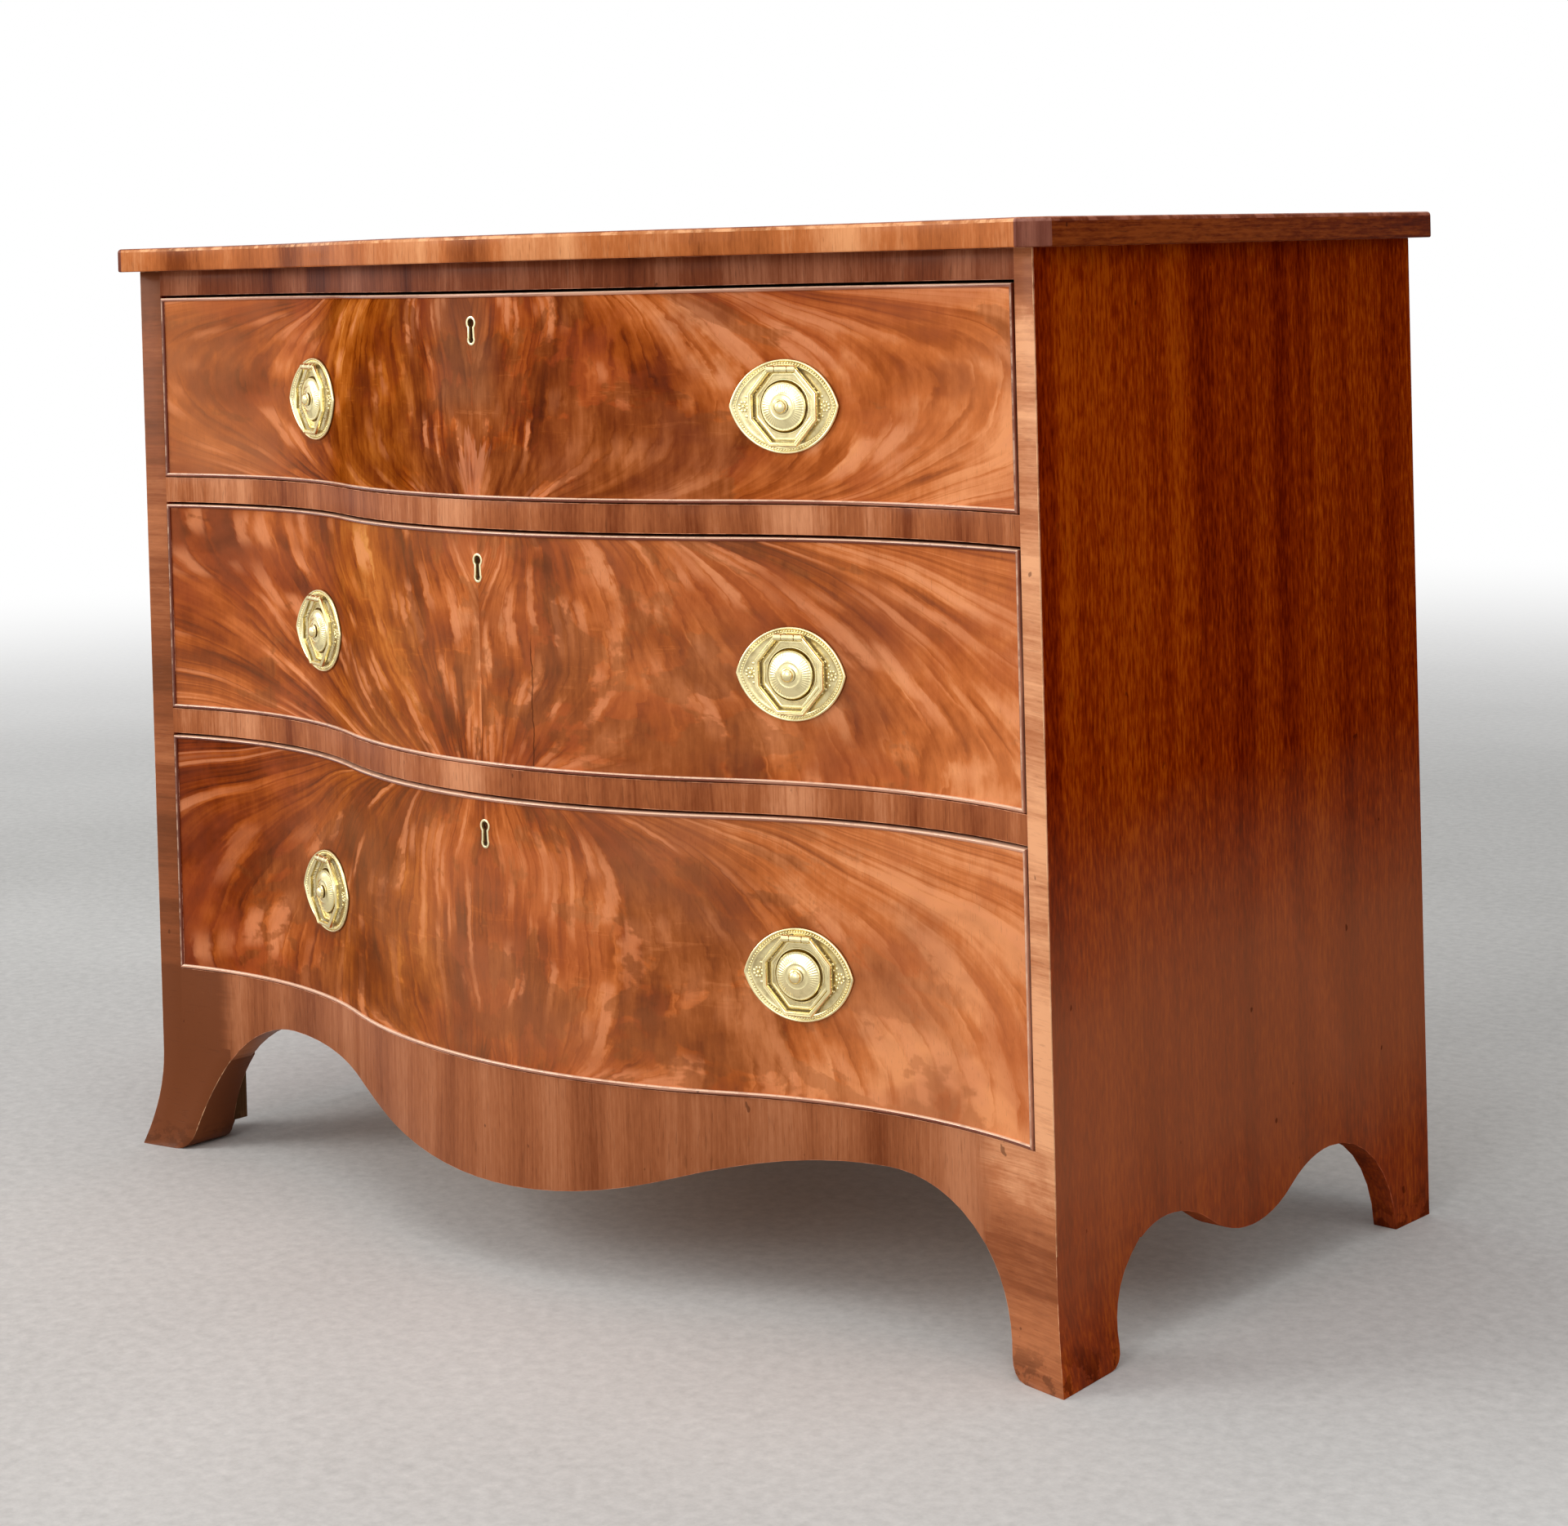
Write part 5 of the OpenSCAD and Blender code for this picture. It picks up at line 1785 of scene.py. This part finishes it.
        pieces.append(self.rod("pin", [(-inner - pin_over, self.pin_r),
                                       (inner + pin_over, self.pin_r)], 16))
        bail = Bench.join("bail", pieces)
        Bench.mark_height(bail, self.hinge_out - 2.2 * MM, self.hinge_out - 0.4 * MM)
        Bench.shade(bail, 32)
        return bail

    def build(self) -> None:
        """Makes each part of a pull once, and sets copies at the six places."""
        plate, bail, bolt = parts = self.plate(), self.bail(), self.bolt()
        brass = [self.finishes.brass]
        for drawer in Drawer:
            name, body = drawer.value, f"{drawer.value}_drawer"
            low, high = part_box(f"{name}_right_plate")
            bolts = []
            for side in Side:
                sign, pull = side.value, f"{name}_{side.name.lower()}"
                spot = (sign * self.x, CURVE.y(self.x), (low.z + high.z) / 2)
                matrix = (Matrix.Translation(spot) @ Matrix.Rotation(sign * self.turn, 4, "Z")
                          @ Matrix.Diagonal((sign, 1.0, 1.0, 1.0)))
                for part, kind, rider in ((plate, "plate", body),
                                          (bail, "bail", f"{pull}_bail_body")):
                    piece = Bench.copy(part, f"{pull}_{kind}_cast", matrix)
                    dress(piece, rider, f"{pull}_{kind}", brass)
                bolts.append(Bench.copy(bolt, f"{pull}_bolt", matrix))
            whole = Bench.join(f"{name}_pull_bolts_turned", bolts)
            dress(whole, body, f"{name}_pull_bolts", brass)
        for part in parts:
            bpy.data.objects.remove(part)


# The stage


@dataclass(frozen=True)
class Studio:
    """Camera, floor and lamps.

    Attributes:
        eye: The camera's place.
        azimuth: How far it looks to the left of straight back, in degrees.
        pitch: How far it looks up, in degrees.
        roll: How far it is turned over, in degrees.
        lens: Focal length for the sensor.
        sensor: Width of the sensor, in millimetres.
        shift: The lens's shift, in widths of the picture.
        aim: What the lamps point at.
        floor_w: Width of the floor.
        fade: Where the floor starts to fade to white and where it is white.
        light: Strength of the surround's own light.
    """

    eye: Point = (1.79334, -1.91843, 0.78220)
    azimuth: float = 42.377
    pitch: float = -1.288
    roll: float = -1.513
    lens: float = 71.835
    sensor: float = 36.0
    shift: tuple[float, float] = (0.0249, -0.2759)
    aim: Point = (0.0, 0.0, 0.4)
    floor_w: float = 24.0
    fade: tuple[float, float] = (1.6, 5.5)
    light: float = 0.42

    def build(self) -> None:
        """Sets up the whole stage."""
        self.camera()
        self.floor()
        self.lamps()
        self.sky()
        bpy.context.scene.view_settings.view_transform = "Standard"

    def camera(self) -> None:
        """The camera, before the right front corner."""
        az, pitch, roll = (math.radians(v) for v in (self.azimuth, self.pitch, self.roll))
        ahead = Vector((-math.sin(az) * math.cos(pitch), math.cos(az) * math.cos(pitch),
                        math.sin(pitch)))
        right = Vector((math.cos(az), math.sin(az), 0.0))
        up = right.cross(ahead)
        turned_right = right * math.cos(roll) + up * math.sin(roll)
        turned_up = up * math.cos(roll) - right * math.sin(roll)
        data = bpy.data.cameras.new("camera")
        data.lens, data.sensor_width, data.sensor_fit = self.lens, self.sensor, "HORIZONTAL"
        data.shift_x, data.shift_y = self.shift
        camera = bpy.data.objects.new("camera", data)
        bpy.context.scene.collection.objects.link(camera)
        matrix = Matrix((turned_right, turned_up, -ahead)).transposed().to_4x4()
        matrix.translation = Vector(self.eye)
        camera.matrix_world = matrix
        bpy.context.scene.camera = camera

    def floor(self) -> None:
        """A plain pale floor that the camera sees fade to white."""
        Bench.clear()
        bpy.ops.mesh.primitive_plane_add(size=self.floor_w)
        plane = bpy.context.active_object
        plane.name = "floor"
        board = Surface("pale_floor")
        x, y, _ = board.split(board.place)
        speck = board.noise(board.place, 90, 4.0, 0.7)
        tone = speck * 0.6 + board.noise(board.place, 1.5, 3.0, 0.5) * 0.4
        pale = board.ramp(tone, (0.30, screen(190, 188, 184)), (0.70, screen(224, 222, 218)))
        board.set(Base_Color=pale, Roughness=0.85)
        far = board.math("SQRT", x * x + y * y).span(*self.fade)
        shader = Wire(board, board.shader.outputs[0])
        mixed = board.node("ShaderNodeMixShader", {
            0: board.seen() * far, 1: shader, 2: board.node("ShaderNodeEmission", {})})
        board.feed(board.tree.nodes["Material Output"].inputs["Surface"], mixed)
        plane.data.materials.append(board.material)

    def lamps(self) -> None:
        """Large soft lamps in front, on both sides and above."""
        for name, place, size, power in (
                ("window", (-2.8, -3.2, 2.2), 2.0, 84.0),
                ("front", (0.9, -4.4, 1.9), 2.4, 54.0),
                ("right", (4.4, 0.2, 2.2), 2.6, 30.0),
                ("above", (0.2, -0.8, 4.0), 3.0, 36.0)):
            data = bpy.data.lights.new(name, "AREA")
            data.energy, data.shape, data.size = power, "SQUARE", size
            lamp = bpy.data.objects.new(name, data)
            bpy.context.scene.collection.objects.link(lamp)
            lamp.location = place
            ray = Vector(self.aim) - Vector(place)
            lamp.rotation_euler = ray.to_track_quat("-Z", "Y").to_euler()

    def sky(self) -> None:
        """A white surround that gives a low even light."""
        world = bpy.context.scene.world or bpy.data.worlds.new("surround")
        bpy.context.scene.world = world
        world.use_nodes = True
        world.node_tree.nodes.clear()
        board = Board(world.node_tree)
        light, white = (
            board.node("ShaderNodeBackground", {"Color": colour, "Strength": strength})
            for colour, strength in (((0.95, 0.97, 1.0), self.light), ((1.0, 1.0, 1.0), 1.0)))
        mixed = board.node("ShaderNodeMixShader", {0: board.seen(), 1: light, 2: white})
        board.feed(board.add("ShaderNodeOutputWorld").inputs[0], mixed)


def main() -> None:
    """Builds the commode and its stage."""
    logging.basicConfig(level=logging.INFO, format="%(name)s %(message)s")
    Studio().build()
    finishes = Finishes()
    Case(finishes).build()
    for drawer in Drawer:
        DrawerLooks(drawer, finishes).build()
    PullMaker(finishes).build()
    Bench.clear()


if __name__ == "__main__":
    main()
